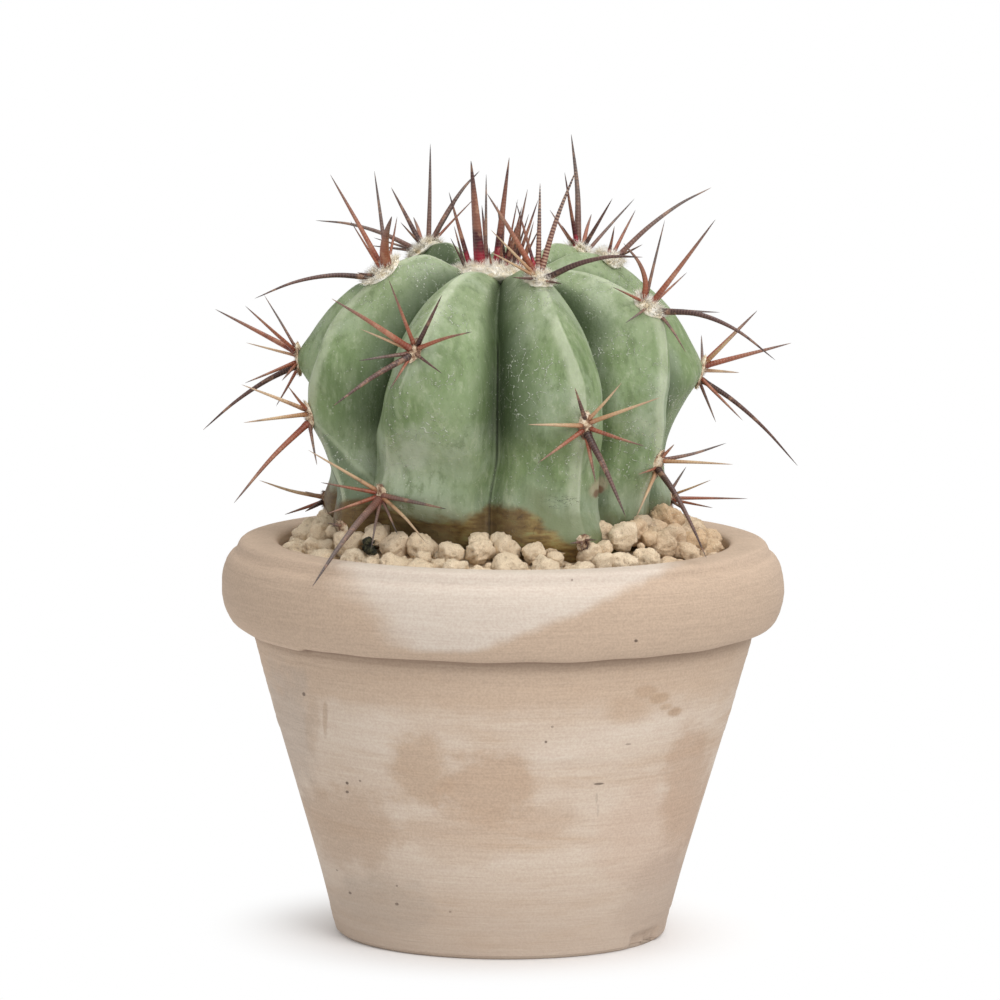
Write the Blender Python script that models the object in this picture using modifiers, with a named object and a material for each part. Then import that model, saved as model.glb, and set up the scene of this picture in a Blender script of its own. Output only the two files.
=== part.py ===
"""Potted barrel cactus.

A clay pot with a rolled rim and one drain hole, the soil that fills it, a dressing of
pumice gravel, a nine-ribbed stem that stands in the soil, the woolly crown, and one
cluster of felt and spines for each areole on the ribs.
The pot stands on z = 0 about the Z axis. The front of the plant looks along -Y.
Azimuths are in degrees from -Y, positive towards +X.
"""
import math
import random

import bmesh
import bpy
from mathutils import Matrix, Vector

MM = 0.001
SEED = 41
GAP = 0.3

# Pot, in mm
POT_STEPS = 48
POT_HEIGHT = 113.0
RIM_RADIUS = 80.0
LIP_RADIUS = 64.0
RIM_TOP_RADIUS = 74.6
RIM_CREASE_RADIUS = 71.2
RIM_CREASE_Z = 86.0
FOOT_RADIUS = 47.0
FLOOR_TOP = 9.0
FLOOR_RADIUS = 39.0
DRAIN_RADIUS = 8.0
WALL_INNER_TOP = 63.4
WALL_INNER_TOP_Z = 103.0

# Soil and gravel, in mm
SOIL_TOP = 100.8
GRAVEL_EDGE_Z = 107.6
GRAVEL_MOUND_Z = 113.4
GRAVEL_INNER = 30.0
STONE_COUNT = 84
STONE_SIZE = (3.4, 5.2)
STONE_SPACING = 7.0

# Stem: each pair is (radius, height) in mm, from the crown down to the buried base
CREST = (
    (0.0, 187.0), (7.0, 188.6), (15.0, 190.4), (24.0, 190.6), (33.0, 188.6), (42.0, 184.2),
    (49.0, 178.2), (54.4, 170.4), (57.0, 161.0), (54.4, 151.0), (51.2, 141.0), (49.8, 131.0),
    (48.6, 121.0), (44.8, 112.0), (40.5, 103.0), (34.0, 93.0), (20.0, 86.0), (0.0, 84.0),
)
VALLEY = (
    (0.0, 187.0), (6.0, 187.0), (11.0, 185.4), (17.0, 183.0), (23.0, 180.0), (28.0, 175.8),
    (32.0, 170.0), (34.6, 163.0), (35.4, 154.6), (35.4, 146.6), (35.4, 138.0), (36.4, 129.0),
    (38.4, 120.0), (40.8, 112.0), (39.6, 103.0), (33.4, 93.0), (20.0, 86.0), (0.0, 84.0),
)
RIB_SHARES = (0.0, 0.2, 0.38, 0.5, 0.62, 0.8)
STEM_RINGS = 26
FACE_POWER = 1.15
CREST_ROUND = 0.06
SLOT_SIZE = 0.13
NARROW_SLOT = 0.22
WIDE_SLOT = 0.5
FULL_SPACING = 40.0
STEM_X = -1.0
STEM_TILT = 0.03
SWELL_SIZE = 6.5
SWELL_RISE = 2.8
SEAM_DRIFT = 0.1

# Ribs: azimuth, (lean of the lower part, height it starts at, height it ends at),
# (extra reach high, extra reach low, extra reach at the foot, rise of the shoulder),
# then each areole's height and half length
RIBS = (
    (-26.0, (-18.0, 172.0, 130.0), (-0.6, -4.2, -6.0, 0.5), ((171.5, 4.0), (129.5, 4.2))),
    (19.5, (5.5, 186.0, 160.0), (-2.6, 1.4, 2.6, 2.0),
     ((190.0, 4.8), (151.0, 4.0), (118.4, 2.4))),
    (64.0, (-3.0, 150.0, 130.0), (-1.6, -3.4, 0.0, 0.0), ((181.4, 5.0), (137.4, 4.0))),
    (109.0, (0.0, 172.0, 130.0), (0.8, -1.2, 1.0, 3.2),
     ((192.0, 3.6), (158.8, 5.0), (122.6, 4.0))),
    (140.0, (9.0, 172.0, 130.0), (0.5, 0.5, 1.0, 4.5),
     ((191.9, 4.2), (154.0, 4.6), (120.5, 3.4))),
    (180.0, (-3.0, 172.0, 130.0), (0.5, 0.5, 0.0, 3.0), ((170.0, 4.4), (131.0, 4.0))),
    (222.0, (-10.0, 176.0, 140.0), (0.5, 0.8, 1.0, 4.5),
     ((193.0, 5.0), (151.0, 4.4), (119.0, 3.2))),
    (251.0, (0.0, 172.0, 130.0), (1.6, 0.8, 1.0, -6.0), ((161.6, 4.8), (121.4, 3.8))),
    (289.0, (15.0, 148.0, 124.0), (0.4, 2.4, 0.0, 4.0),
     ((189.8, 6.0), (149.6, 4.4), (119.6, 2.0))),
)
PAD_HALF_WIDTH = 2.5
PAD_HALF_THICK = 1.5
CROWN_RADIUS = 11.0
CROWN_THICK = 3.0
CROWN_RIGHT = -3.0
CROWN_BACK = -0.5

# Spines: (right, back, up, root radius, arch up, arch right) in mm, as seen from the front
SPINES = {
    "rib1_a": (
        (-21.7, -8, 14.6, 0.9, 0.5, 0), (-7.1, -6, 18.9, 0.6, 0, 0),
        (6.8, -8, 14.9, 0.7, 0, 0), (15, -9, 5.7, 0.65, 0.4, 0),
        (-13.7, -3, 6, 0.5, 0, 0), (-13.9, -5, -1.6, 0.6, 0, 0),
        (-20.8, -16, -12.4, 0.9, 0.8, 0), (-5.4, -5, -8.4, 0.5, 0, 0),
        (7.4, -8, -4.6, 0.5, 0, 0),
    ),
    "rib1_b": (
        (-19.3, -2, 11.5, 0.6, 0, 0), (-15.7, -2, 3, 0.6, 0, 0),
        (-14, -6, -4.2, 0.65, 0, 0), (-18, -32, -20.5, 1.0, 1.6, 0),
        (-2.4, -15, -12.5, 0.5, 0.5, 0), (4.6, -12, -8.5, 0.45, 0, 0),
        (12.6, -21, -10, 0.6, 0.8, 0), (18, -13, -2, 0.8, 0, 0),
    ),
    "rib2_a": (
        (-13.8, -3, 22.9, 0.9, 0.6, 0), (-12.8, -8, 13.7, 0.55, 0, 0),
        (-13, -7, 7.6, 0.5, 0, 0), (-5.9, 3, 19.8, 0.6, 0, 0),
        (0.4, 4, 25, 0.7, 0, 0), (10, 3, 29.6, 0.9, 0, -0.8),
        (27.1, -10, 7.3, 0.9, 2.4, 0), (-7, -7, 1, 0.5, 0, 0),
        (5, -7, 0, 0.5, 0, 0),
    ),
    "rib2_b": (
        (-2.9, -5, 9.2, 0.6, 0, 0), (9, -3, 10.6, 0.6, 0, 0),
        (19.3, -5, 7.7, 0.65, 0, 0), (-15, -7, 1, 0.65, 0, 0),
        (-12.5, -9, -8.2, 0.7, 0, 0), (2.6, -7, -12.7, 0.65, 0, 0),
        (10.7, -16, -21.2, 0.95, 1.0, 0), (15.3, -6, -4.2, 0.65, 0, 0),
    ),
    "rib2_c": (
        (-3, -4, 0.2, 0.4, 0, 0), (0, -5, -0.2, 0.4, 0, 0),
        (3, -4, 0.6, 0.4, 0, 0),
    ),
    "rib3_a": (
        (-5.8, -5, 16.6, 0.8, 0, 2.8), (5.2, -3, 23.3, 0.6, 0, 0),
        (17.9, -2, 24.4, 0.85, 0, 0), (10.1, 6, 8.8, 0.5, 0, 0),
        (32.8, -10, -12.3, 0.9, 4.4, 0), (18, 4, -1, 0.55, 0, 0),
        (8, -4, -10.9, 0.6, 0.8, 0), (-6.6, -9, -3.9, 0.45, 0, 0),
        (-9, -8, 5, 0.5, 0, 0),
    ),
    "rib3_b": (
        (3.4, -1, 3.8, 0.55, 0, 0), (18, 3, 4.6, 0.6, -0.4, 0),
        (19.9, -5, -0.2, 0.7, 0, 0), (13.2, -29, -21.4, 0.85, 2.2, 0),
        (-5.7, -10, -11.8, 0.55, 0, 0), (-5.5, -4, -1.5, 0.45, 0, 0),
    ),
    "rib4_a": (
        (1.7, -4, 9, 0.5, 0, 0), (27.5, 8, 20.1, 0.8, 2.2, 0),
        (8.1, -5, 4.6, 0.5, 0, 0), (3.5, 6, 6, 0.45, 0, 0),
        (7, 10, 13, 0.55, 0, 0),
    ),
    "rib4_b": (
        (-0.2, 8, 7.7, 0.5, 0, 0), (10.6, -4, 11.8, 0.6, 0, 0),
        (15.3, 6, 14.8, 0.85, 0, 0), (25, 2, 6.6, 0.85, 0, 0),
        (11.4, 12, -1.9, 0.6, 0, 0), (28.6, 6, -25.6, 0.8, 2.6, 0),
        (11.9, -7, -11.4, 0.6, 0, 0), (5.2, 5, -12.7, 0.5, 0, 0),
    ),
    "rib4_c": (
        (4.6, 4, 6.8, 0.55, 0, 0), (11.1, -5, 5.1, 0.5, 0, 0),
        (22.2, 5, -0.6, 0.65, 0, 0), (11.7, -7, -1.4, 0.55, 0, 0),
        (4.2, -8, -2, 0.5, 0, 0),
    ),
    "rib5_a": (
        (-2.1, 4, 32.7, 0.9, 0, 0.8), (-3.9, -3, 22.2, 0.7, 0, 0),
        (-4.4, -6, 7, 0.55, 0, 0), (14.5, 12, 15.3, 0.6, 0, 0),
        (8.7, -2, 15.3, 0.7, 0, 0), (-8, 10, 11, 0.55, 0, 0),
        (3, 20, 10, 0.7, 1.0, 0),
    ),
    "rib7_a": (
        (-29.7, 6, 8, 0.75, 2.0, 0), (-14, 3, 1.3, 0.5, 0, 0),
        (-13.1, 8, 3.2, 0.5, 0, 0), (-9.3, 5, 17, 0.8, 0, 0),
        (-6.5, -4, 7.4, 0.5, 0, 0), (0.3, 4, 28.8, 0.7, 0, 0),
        (14, 5, 21, 0.85, 2.4, 0), (7.2, -6, 12.2, 0.5, 0, 0),
        (12.9, 8, 13.3, 0.5, 0, 0), (-3, 19, 8, 0.7, 1.0, 0),
    ),
    "rib8_a": (
        (-9.6, 4, 15.4, 0.5, 0, 0), (-14.5, -5, 13.6, 0.65, 0, 0),
        (-23.7, 7, 11.5, 0.85, 0, 0), (-15.4, 14, 2.3, 0.5, 0, 0),
        (-26.8, -4, -18.4, 0.85, 1.8, 0), (-14.3, -12, -5, 0.6, 0, 0),
        (-3.9, -9, -4.1, 0.5, 0, 0), (-6.7, 8, -12.4, 0.5, 0, 0),
    ),
    "rib8_b": (
        (-18.5, 3, 4.3, 0.65, -0.6, 0), (-11, -3, -3.5, 0.6, 0, 0),
        (-5, -6, -2.2, 0.7, 0, 0), (-6, 7, 1, 0.5, 0, 0),
    ),
    "rib9_a": (
        (-32.6, -9, -5.3, 0.8, 3.0, 0), (-15, 4, 26, 0.85, 0, 0),
        (-8.7, -6, 14.5, 0.5, 0, 0), (1.6, -10, 15.2, 1.2, 0, -1.2),
        (-3.8, 3, 26.4, 0.7, 0, 0), (2.4, 7, 13, 0.45, 0, 0),
        (-5, -6, 1.4, 0.5, 0, 0),
    ),
    "rib9_b": (
        (-18, -4, 7.4, 0.65, 0, 0), (-5, -9, 7.6, 0.5, 0, 0),
        (-17.5, -13, -1.1, 0.65, 0, 0), (-20.5, -12, -21.5, 0.9, 1.0, 0),
        (-9.2, 3, -10.2, 0.6, 0, 0), (2.4, -9, -10.9, 0.5, 0, 0),
    ),
    "rib9_c": ((-3.6, -2, 0.8, 0.4, 0, 0), (-3, -4, 0.4, 0.4, 0, 0)),
}

# Crown spines: (start right, start back), then right, back, up, root radius
CROWN_SPINES = (
    ((-3.1, -1.0), (-3.0, -2, 32, 1.6)), ((-1.8, 3.4), (0, 4, 27.5, 0.6)),
    ((1.1, 1.0), (3.6, 3, 32.5, 1.1)), ((-5.7, 1.6), (-6.6, 3, 22.5, 0.8)),
    ((-6.7, -3.0), (-5, -4, 10.5, 0.5)), ((-7.2, 1.0), (-3.6, 3, 13, 0.5)),
    ((6.0, 1.6), (7, 4, 20.5, 0.7)), ((5.0, 5.2), (5, 6, 23, 0.6)),
    ((3.6, -3.2), (3, -4, 14, 0.6)), ((-1.0, 6.4), (-2, 8, 18, 0.7)),
    ((4.0, -0.8), (4.4, 0, 19, 0.65)), ((7.2, -1.8), (6, -3, 13, 0.6)),
    ((2.6, 4.2), (1, 5, 16, 0.55)),
)

# Spines of the ribs at the back, placed by rule: (angle round the areole, lean, length, root)
BACK_RADIALS = (
    (20, 60, 18, 0.6), (68, 66, 20, 0.6), (115, 64, 19, 0.6), (165, 66, 15, 0.5),
    (205, 64, 16, 0.5), (250, 64, 20, 0.65), (300, 66, 19, 0.6), (345, 58, 17, 0.55),
)
BACK_CENTRAL = (180, 38, 26, 0.85)


def direction(azimuth):
    """Level unit vector at an azimuth."""
    angle = math.radians(azimuth)
    return Vector((math.sin(angle), -math.cos(angle), 0.0))


def blend(low, high, value):
    """Smooth 0 to 1 as value goes from low to high."""
    share = min(1.0, max(0.0, (value - low) / (high - low)))
    return share * share * (3 - 2 * share)


def curve_at(points, place):
    """Smooth point on a list of (radius, height) pairs, place from 0 to 1."""
    last = len(points) - 1
    spot = min(max(place, 0.0), 1.0) * last
    i = min(int(spot), last - 1)
    t = spot - i
    p0 = Vector(points[max(i - 1, 0)])
    p1 = Vector(points[i])
    p2 = Vector(points[i + 1])
    p3 = Vector(points[min(i + 2, last)])
    if i == 0:
        p0 = Vector((-p2.x, p2.y))
    if i == last - 1:
        p3 = Vector((-p1.x, p1.y))
    a = 2 * p1
    b = p2 - p0
    c = 2 * p0 - 5 * p1 + 4 * p2 - p3
    d = 3 * p1 - p0 - 3 * p2 + p3
    return (a + b * t + c * t * t + d * t ** 3) / 2


def rib_azimuth(rib, z):
    """Azimuth of a rib's crest at a height."""
    turn = 360.0 * (rib // len(RIBS))
    base, (lean, start, end) = RIBS[rib % len(RIBS)][:2]
    return turn + base + lean * blend(start, end, z)


def crest_point(rib, place):
    """Radius and height of a rib's crest, with its swellings at the areoles."""
    _, _, (high, low, foot, rise), areoles = RIBS[rib % len(RIBS)]
    r, z = curve_at(CREST, place)
    shoulder = rise * blend(183, 190.6, z) * blend(11, 24, r)
    upper = blend(194, 168, z) * blend(138, 160, z)
    lower = blend(152, 134, z) * blend(104, 116, z)
    base = blend(128, 118, z) * blend(100, 112, z)
    r += high * upper + low * lower + foot * base
    if z > 104:
        swell = max(math.exp(-((z - a[0]) / SWELL_SIZE) ** 2) for a in areoles)
        r += SWELL_RISE * swell * blend(190, 176, z)
    return Vector((r, z + shoulder))


def flank_share(way, spacing):
    """How far a flank has risen from furrow to crest: a steep slot, then an even face."""
    slot = NARROW_SLOT + (WIDE_SLOT - NARROW_SLOT) * blend(42, 58, spacing)
    away = math.hypot(1 - way, CREST_ROUND) - CREST_ROUND
    face = slot + (1 - slot) * (1 - away ** FACE_POWER)
    return face - slot * math.exp(-(way / SLOT_SIZE) ** 2)


def stem_point(side, place):
    """Point on the stem: side counts ribs round it from 0 to 9, place runs down it."""
    rib = int(side)
    share = side - rib
    near = crest_point(rib, place)
    far = crest_point(rib + 1, place)
    crest = near.lerp(far, blend(0.2, 0.8, share))
    start = rib_azimuth(rib, crest.y)
    end = rib_azimuth(rib + 1, crest.y)
    depth = min(1.0, (end - start) / FULL_SPACING)
    valley = crest.lerp(curve_at(VALLEY, place), depth)
    ridge = flank_share(abs(share - 0.5) * 2, end - start)
    point = valley.lerp(crest, ridge)
    drift = 0.0 if rib % len(RIBS) else SEAM_DRIFT * blend(152, 138, crest.y)
    turn = share + drift * 4 * share * (1 - share)
    spot = direction(start + (end - start) * turn) * point.x
    lift = point.y + STEM_TILT * spot.y * blend(100, 160, point.y)
    return Vector((spot.x + STEM_X, spot.y, lift)) * MM


def areole_frame(rib, height):
    """Place, outward normal and up-the-rib tangent of an areole."""
    low, high = 0.08, 0.85
    for _ in range(40):
        middle = (low + high) / 2
        if stem_point(rib, middle).z / MM > height:
            low = middle
        else:
            high = middle
    spot = stem_point(rib, middle)
    up = (stem_point(rib, middle - 0.012) - stem_point(rib, middle + 0.012)).normalized()
    out = Vector((spot.x - STEM_X * MM, spot.y, 0)).normalized()
    normal = (out - up * out.dot(up)).normalized()
    return spot, normal, up


def clear_scene():
    """Remove all that is in the scene."""
    for thing in list(bpy.data.objects):
        bpy.data.objects.remove(thing, do_unlink=True)


def new_collection(name):
    """Collection linked to the scene."""
    group = bpy.data.collections.new(name)
    bpy.context.scene.collection.children.link(group)
    return group


def make_material(name, colour, roughness):
    """Plain Principled material."""
    material = bpy.data.materials.new(name)
    material.use_nodes = True
    shader = material.node_tree.nodes["Principled BSDF"]
    shader.inputs["Base Color"].default_value = (*colour, 1)
    shader.inputs["Roughness"].default_value = roughness
    return material


def mesh_object(name, bm, group, material=None):
    """Object from a bmesh, in a collection."""
    mesh = bpy.data.meshes.new(name)
    bm.to_mesh(mesh)
    bm.free()
    thing = bpy.data.objects.new(name, mesh)
    group.objects.link(thing)
    if material:
        mesh.materials.append(material)
    return thing


def apply_modifiers(thing):
    """Bake an object's modifiers into its mesh."""
    graph = bpy.context.evaluated_depsgraph_get()
    mesh = bpy.data.meshes.new_from_object(thing.evaluated_get(graph), depsgraph=graph)
    old = thing.data
    thing.modifiers.clear()
    thing.data = mesh
    mesh.name = thing.name
    bpy.data.meshes.remove(old)


def combine(thing, others, operation, solver="EXACT"):
    """One Boolean of a thing with a list of objects, which are then removed."""
    if not others:
        return
    group = bpy.data.collections.new(thing.name + "_tools")
    bpy.context.scene.collection.children.link(group)
    for other in others:
        for old in list(other.users_collection):
            old.objects.unlink(other)
        group.objects.link(other)
    boolean = thing.modifiers.new(operation.lower(), "BOOLEAN")
    boolean.operation = operation
    boolean.operand_type = "COLLECTION"
    boolean.collection = group
    boolean.solver = solver
    apply_modifiers(thing)
    for other in list(group.objects):
        bpy.data.objects.remove(other, do_unlink=True)
    bpy.data.collections.remove(group)


def keep_largest(thing):
    """Drop the slivers that a cut leaves beside a body."""
    bm = bmesh.new()
    bm.from_mesh(thing.data)
    left = set(bm.verts)
    shells = []
    while left:
        shell = set()
        edge = [left.pop()]
        while edge:
            vert = edge.pop()
            shell.add(vert)
            near = {e.other_vert(vert) for e in vert.link_edges} & left
            left -= near
            edge.extend(near)
        shells.append(shell)
    shells.sort(key=len)
    small = [vert for shell in shells[:-1] for vert in shell]
    bmesh.ops.delete(bm, geom=small, context="VERTS")
    bm.to_mesh(thing.data)
    bm.free()


def turned(name, profile, group, material, steps=POT_STEPS):
    """Solid of revolution from a closed profile of (radius, height) pairs in mm."""
    bm = bmesh.new()
    verts = [bm.verts.new((r * MM, 0, z * MM)) for r, z in profile]
    for here, there in zip(verts, verts[1:] + verts[:1]):
        if here.co.x > 0 or there.co.x > 0:
            bm.edges.new((here, there))
    mesh = bpy.data.meshes.new(name)
    bm.to_mesh(mesh)
    bm.free()
    thing = bpy.data.objects.new(name, mesh)
    group.objects.link(thing)
    screw = thing.modifiers.new("turn", "SCREW")
    screw.axis = "Z"
    screw.steps = steps
    screw.render_steps = steps
    screw.use_merge_vertices = True
    screw.merge_threshold = 0.00001
    apply_modifiers(thing)
    mesh = thing.data
    mesh.materials.append(material)
    bm = bmesh.new()
    bm.from_mesh(mesh)
    bmesh.ops.recalc_face_normals(bm, faces=bm.faces)
    bm.to_mesh(mesh)
    bm.free()
    return thing


def inner_wall(z):
    """Radius of the pot's inside at a height."""
    share = (z - FLOOR_TOP) / (WALL_INNER_TOP_Z - FLOOR_TOP)
    return FLOOR_RADIUS + (WALL_INNER_TOP - FLOOR_RADIUS) * min(1.0, max(0.0, share))


def make_pot(group, material):
    """Thrown pot: rolled rim over a tapered wall, floor with a drain hole."""
    profile = (
        (LIP_RADIUS + 1.4, POT_HEIGHT - 0.1), (LIP_RADIUS + 5.0, POT_HEIGHT),
        (RIM_TOP_RADIUS, POT_HEIGHT - 0.5), (RIM_TOP_RADIUS + 1.4, POT_HEIGHT - 2.6),
        (RIM_TOP_RADIUS + 3.0, POT_HEIGHT - 5.4), (RIM_RADIUS - 0.8, POT_HEIGHT - 10.0),
        (RIM_RADIUS, POT_HEIGHT - 15.0), (RIM_RADIUS - 0.4, POT_HEIGHT - 19.6),
        (RIM_RADIUS - 2.2, POT_HEIGHT - 23.4), (RIM_RADIUS - 5.6, POT_HEIGHT - 25.8),
        (RIM_CREASE_RADIUS, RIM_CREASE_Z), (RIM_CREASE_RADIUS - 0.8, RIM_CREASE_Z - 3.0),
        (FOOT_RADIUS + 12.0, 42.0), (FOOT_RADIUS + 1.6, 5.0), (FOOT_RADIUS, 1.6),
        (FOOT_RADIUS - 2.0, 0.0), (DRAIN_RADIUS + 1.0, 0.0), (DRAIN_RADIUS, 1.0),
        (DRAIN_RADIUS, FLOOR_TOP), (FLOOR_RADIUS, FLOOR_TOP), (FLOOR_RADIUS + 1.4, FLOOR_TOP + 1.4),
        (WALL_INNER_TOP, WALL_INNER_TOP_Z), (LIP_RADIUS - 0.2, POT_HEIGHT - 4.0),
        (LIP_RADIUS + 0.2, POT_HEIGHT - 1.4),
    )
    return turned("pot", profile, group, material)


def stem_mesh(grow=0.0):
    """Ribbed stem from a globe, each vertex moved to its rib; grown by a margin in mm."""
    steps = len(RIB_SHARES)
    segments = steps * len(RIBS)
    bm = bmesh.new()
    bmesh.ops.create_uvsphere(bm, u_segments=segments, v_segments=STEM_RINGS, radius=1.0)
    for vert in bm.verts:
        turn = math.atan2(vert.co.y, vert.co.x) / math.tau
        column = math.floor(turn * segments + 0.3) % segments
        side = column // steps + RIB_SHARES[column % steps]
        place = math.acos(max(-1.0, min(1.0, vert.co.z))) / math.pi
        vert.co = stem_point(side, place)
    bmesh.ops.triangulate(bm, faces=bm.faces, quad_method="SHORT_EDGE")
    if grow:
        bm.normal_update()
        for vert in bm.verts:
            vert.co += vert.normal * grow * MM
    return bm


def pad_mesh(frame, half_length, grow=0.0):
    """Felt pad of an areole: a flattened globe on the rib's crest."""
    spot, normal, up = frame
    across = normal.cross(up)
    sizes = (PAD_HALF_WIDTH + grow, half_length + grow, PAD_HALF_THICK + grow)
    bm = bmesh.new()
    bmesh.ops.create_uvsphere(bm, u_segments=8, v_segments=4, radius=1.0)
    for vert in bm.verts:
        x, y, z = vert.co
        shift = -across * (x * sizes[0]) + up * (y * sizes[1]) + normal * (z * sizes[2])
        vert.co = spot + shift * MM
    return bm


def needle_line(start, reach, arch, sway):
    """Points along a spine, from its sunk root to its tip."""
    points = []
    steps = 3 if abs(arch) + abs(sway) > 1 else 2
    for step in range(steps + 1):
        t = step / steps
        bow = 4 * t * (1 - t)
        offset = Vector((sway * bow, 0, arch * bow)) * MM
        points.append(start + reach * t + offset)
    return points


def needle_mesh(line, radius):
    """Three-sided tapered spine along a line of points."""
    bm = bmesh.new()
    bmesh.ops.create_cone(
        bm, cap_ends=True, segments=3, radius1=1.0, radius2=1.0, depth=1.0,
    )
    sides = [e for e in bm.edges if abs(e.verts[0].co.z - e.verts[1].co.z) > 0.5]
    bmesh.ops.subdivide_edges(bm, edges=sides, cuts=len(line) - 2, use_grid_fill=False)
    chord = (line[-1] - line[0]).normalized()
    aside = chord.orthogonal().normalized()
    beside = chord.cross(aside)
    last = len(line) - 1
    for vert in bm.verts:
        step = round((vert.co.z + 0.5) * last)
        width = radius * MM * (1.0 - 0.88 * (step / last) ** 1.3)
        vert.co = line[step] + (aside * vert.co.x + beside * vert.co.y) * width
    return bm


def root_point(frame, half_length, reach):
    """Where a spine leaves the pad: off its middle, towards the side it points to."""
    spot, normal, up = frame
    across = normal.cross(up)
    along_up = reach.dot(up)
    along_side = reach.dot(across)
    size = math.hypot(along_up, along_side) + 0.3 * abs(reach.dot(normal)) + 1e-9
    shift = up * (along_up / size * half_length * 0.62)
    shift += across * (along_side / size * PAD_HALF_WIDTH * 0.5)
    return spot + (shift + normal * 0.35) * MM


def front_needles(frame, half_length, rows):
    """Lines and radii of the spines that are listed by hand."""
    needles = []
    for right, back, up, radius, arch, sway in rows:
        reach = Vector((right, back, up)) * MM
        start = root_point(frame, half_length, reach)
        needles.append((needle_line(start, reach, arch, sway), radius))
    return needles


def back_needles(frame, half_length, dice):
    """Lines and radii of the spines that follow the rule for the back."""
    spot, normal, up = frame
    across = normal.cross(up)
    needles = []
    for angle, lean, length, radius in BACK_RADIALS + (BACK_CENTRAL,):
        turn = math.radians(angle + dice.uniform(-8, 8))
        tilt = math.radians(lean + dice.uniform(-5, 4))
        size = length * dice.uniform(0.85, 1.1)
        level = up * math.cos(turn) + across * math.sin(turn)
        reach = (level * math.sin(tilt) + normal * math.cos(tilt)) * size * MM
        start = root_point(frame, half_length, reach)
        needles.append((needle_line(start, reach, dice.uniform(0.2, 1.2), 0), radius))
    return needles


def gravel_height(r):
    """Top of the gravel bed at a radius: highest against the stem."""
    share = blend(62.0, 47.0, r)
    return GRAVEL_EDGE_Z + (GRAVEL_MOUND_Z - GRAVEL_EDGE_Z) * share


def ground_height(r):
    """Height that a spine keeps above, over the grains and the pot's rim."""
    if r < LIP_RADIUS - 2.5:
        return gravel_height(r) + 4.6
    if r < RIM_RADIUS + 0.5:
        return POT_HEIGHT + 1.2 - 2.0 * max(0.0, r - RIM_TOP_RADIUS)
    return 0.0


def lift_clear(needles):
    """Raise the points of spines that would dip into the grains or the rim."""
    for line, _ in needles:
        for i in range(1, len(line)):
            for share in (0.4, 0.6, 0.8, 1.0):
                point = line[i - 1].lerp(line[i], share)
                r = math.hypot(point.x, point.y) / MM
                short = ground_height(r) - point.z / MM
                if short > 0:
                    line[i] = line[i] + Vector((0, 0, short / share * MM))


def all_clusters():
    """Name, frame, half length and needles of every areole."""
    dice = random.Random(SEED)
    found = []
    for rib, row in enumerate(RIBS):
        for letter, (height, half_length) in zip("abc", row[3]):
            name = f"rib{rib + 1}_{letter}"
            frame = areole_frame(rib, height)
            if name in SPINES:
                needles = front_needles(frame, half_length, SPINES[name])
            else:
                needles = back_needles(frame, half_length, dice)
            lift_clear(needles)
            found.append((name, frame, half_length, needles))
    return found


def make_cluster(name, frame, half_length, needles, group, material):
    """Areole: felt pad with its spines fused in."""
    pad = mesh_object("areole_" + name, pad_mesh(frame, half_length), group, material)
    spines = [mesh_object("spine", needle_mesh(*needle), group) for needle in needles]
    combine(pad, spines, "UNION")
    return pad


def crown_mesh(grow=0.0):
    """Woolly cushion in the middle of the crown."""
    top = stem_point(0, 0)
    bm = bmesh.new()
    bmesh.ops.create_uvsphere(bm, u_segments=16, v_segments=8, radius=1.0)
    wide = (CROWN_RADIUS + grow) * MM
    thick = (CROWN_THICK + grow) * MM
    for vert in bm.verts:
        vert.co = Vector((vert.co.x * wide, vert.co.y * wide, vert.co.z * thick))
        vert.co += top + Vector((CROWN_RIGHT, CROWN_BACK, 1.4)) * MM
    return bm


def make_crown(group, material):
    """Crown wool with the young spines that stand in it."""
    crown = mesh_object("crown", crown_mesh(), group, material)
    middle = stem_point(0, 0) + Vector((CROWN_RIGHT, CROWN_BACK, 1.6)) * MM
    spines = []
    for (at_right, at_back), (right, back, up, radius) in CROWN_SPINES:
        start = middle + Vector((at_right, at_back, 0)) * MM
        line = needle_line(start, Vector((right, back, up)) * MM, 0, 0)
        spines.append(mesh_object("spine", needle_mesh(line, radius), group))
    combine(crown, spines, "UNION")
    return crown


def stone_mesh(spot, size, dice):
    """One rough pumice grain."""
    bm = bmesh.new()
    bmesh.ops.create_icosphere(bm, subdivisions=1, radius=1.0)
    stretch = Vector((dice.uniform(0.85, 1.2), dice.uniform(0.85, 1.2), dice.uniform(0.7, 0.95)))
    turn = Matrix.Rotation(dice.uniform(0, math.tau), 3, "Z")
    turn @= Matrix.Rotation(dice.uniform(-0.4, 0.4), 3, "X")
    for vert in bm.verts:
        rough = vert.co * dice.uniform(0.84, 1.1)
        rough = Vector((rough.x * stretch.x, rough.y * stretch.y, rough.z * stretch.z))
        vert.co = spot + turn @ rough * size * MM
    return bm


def distance_to_line(spot, line):
    """Shortest distance from a point to a line of points."""
    nearest = 1.0
    for here, there in zip(line, line[1:]):
        along = there - here
        t = max(0.0, min(1.0, (spot - here).dot(along) / along.length_squared))
        nearest = min(nearest, (spot - here - along * t).length)
    return nearest


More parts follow.
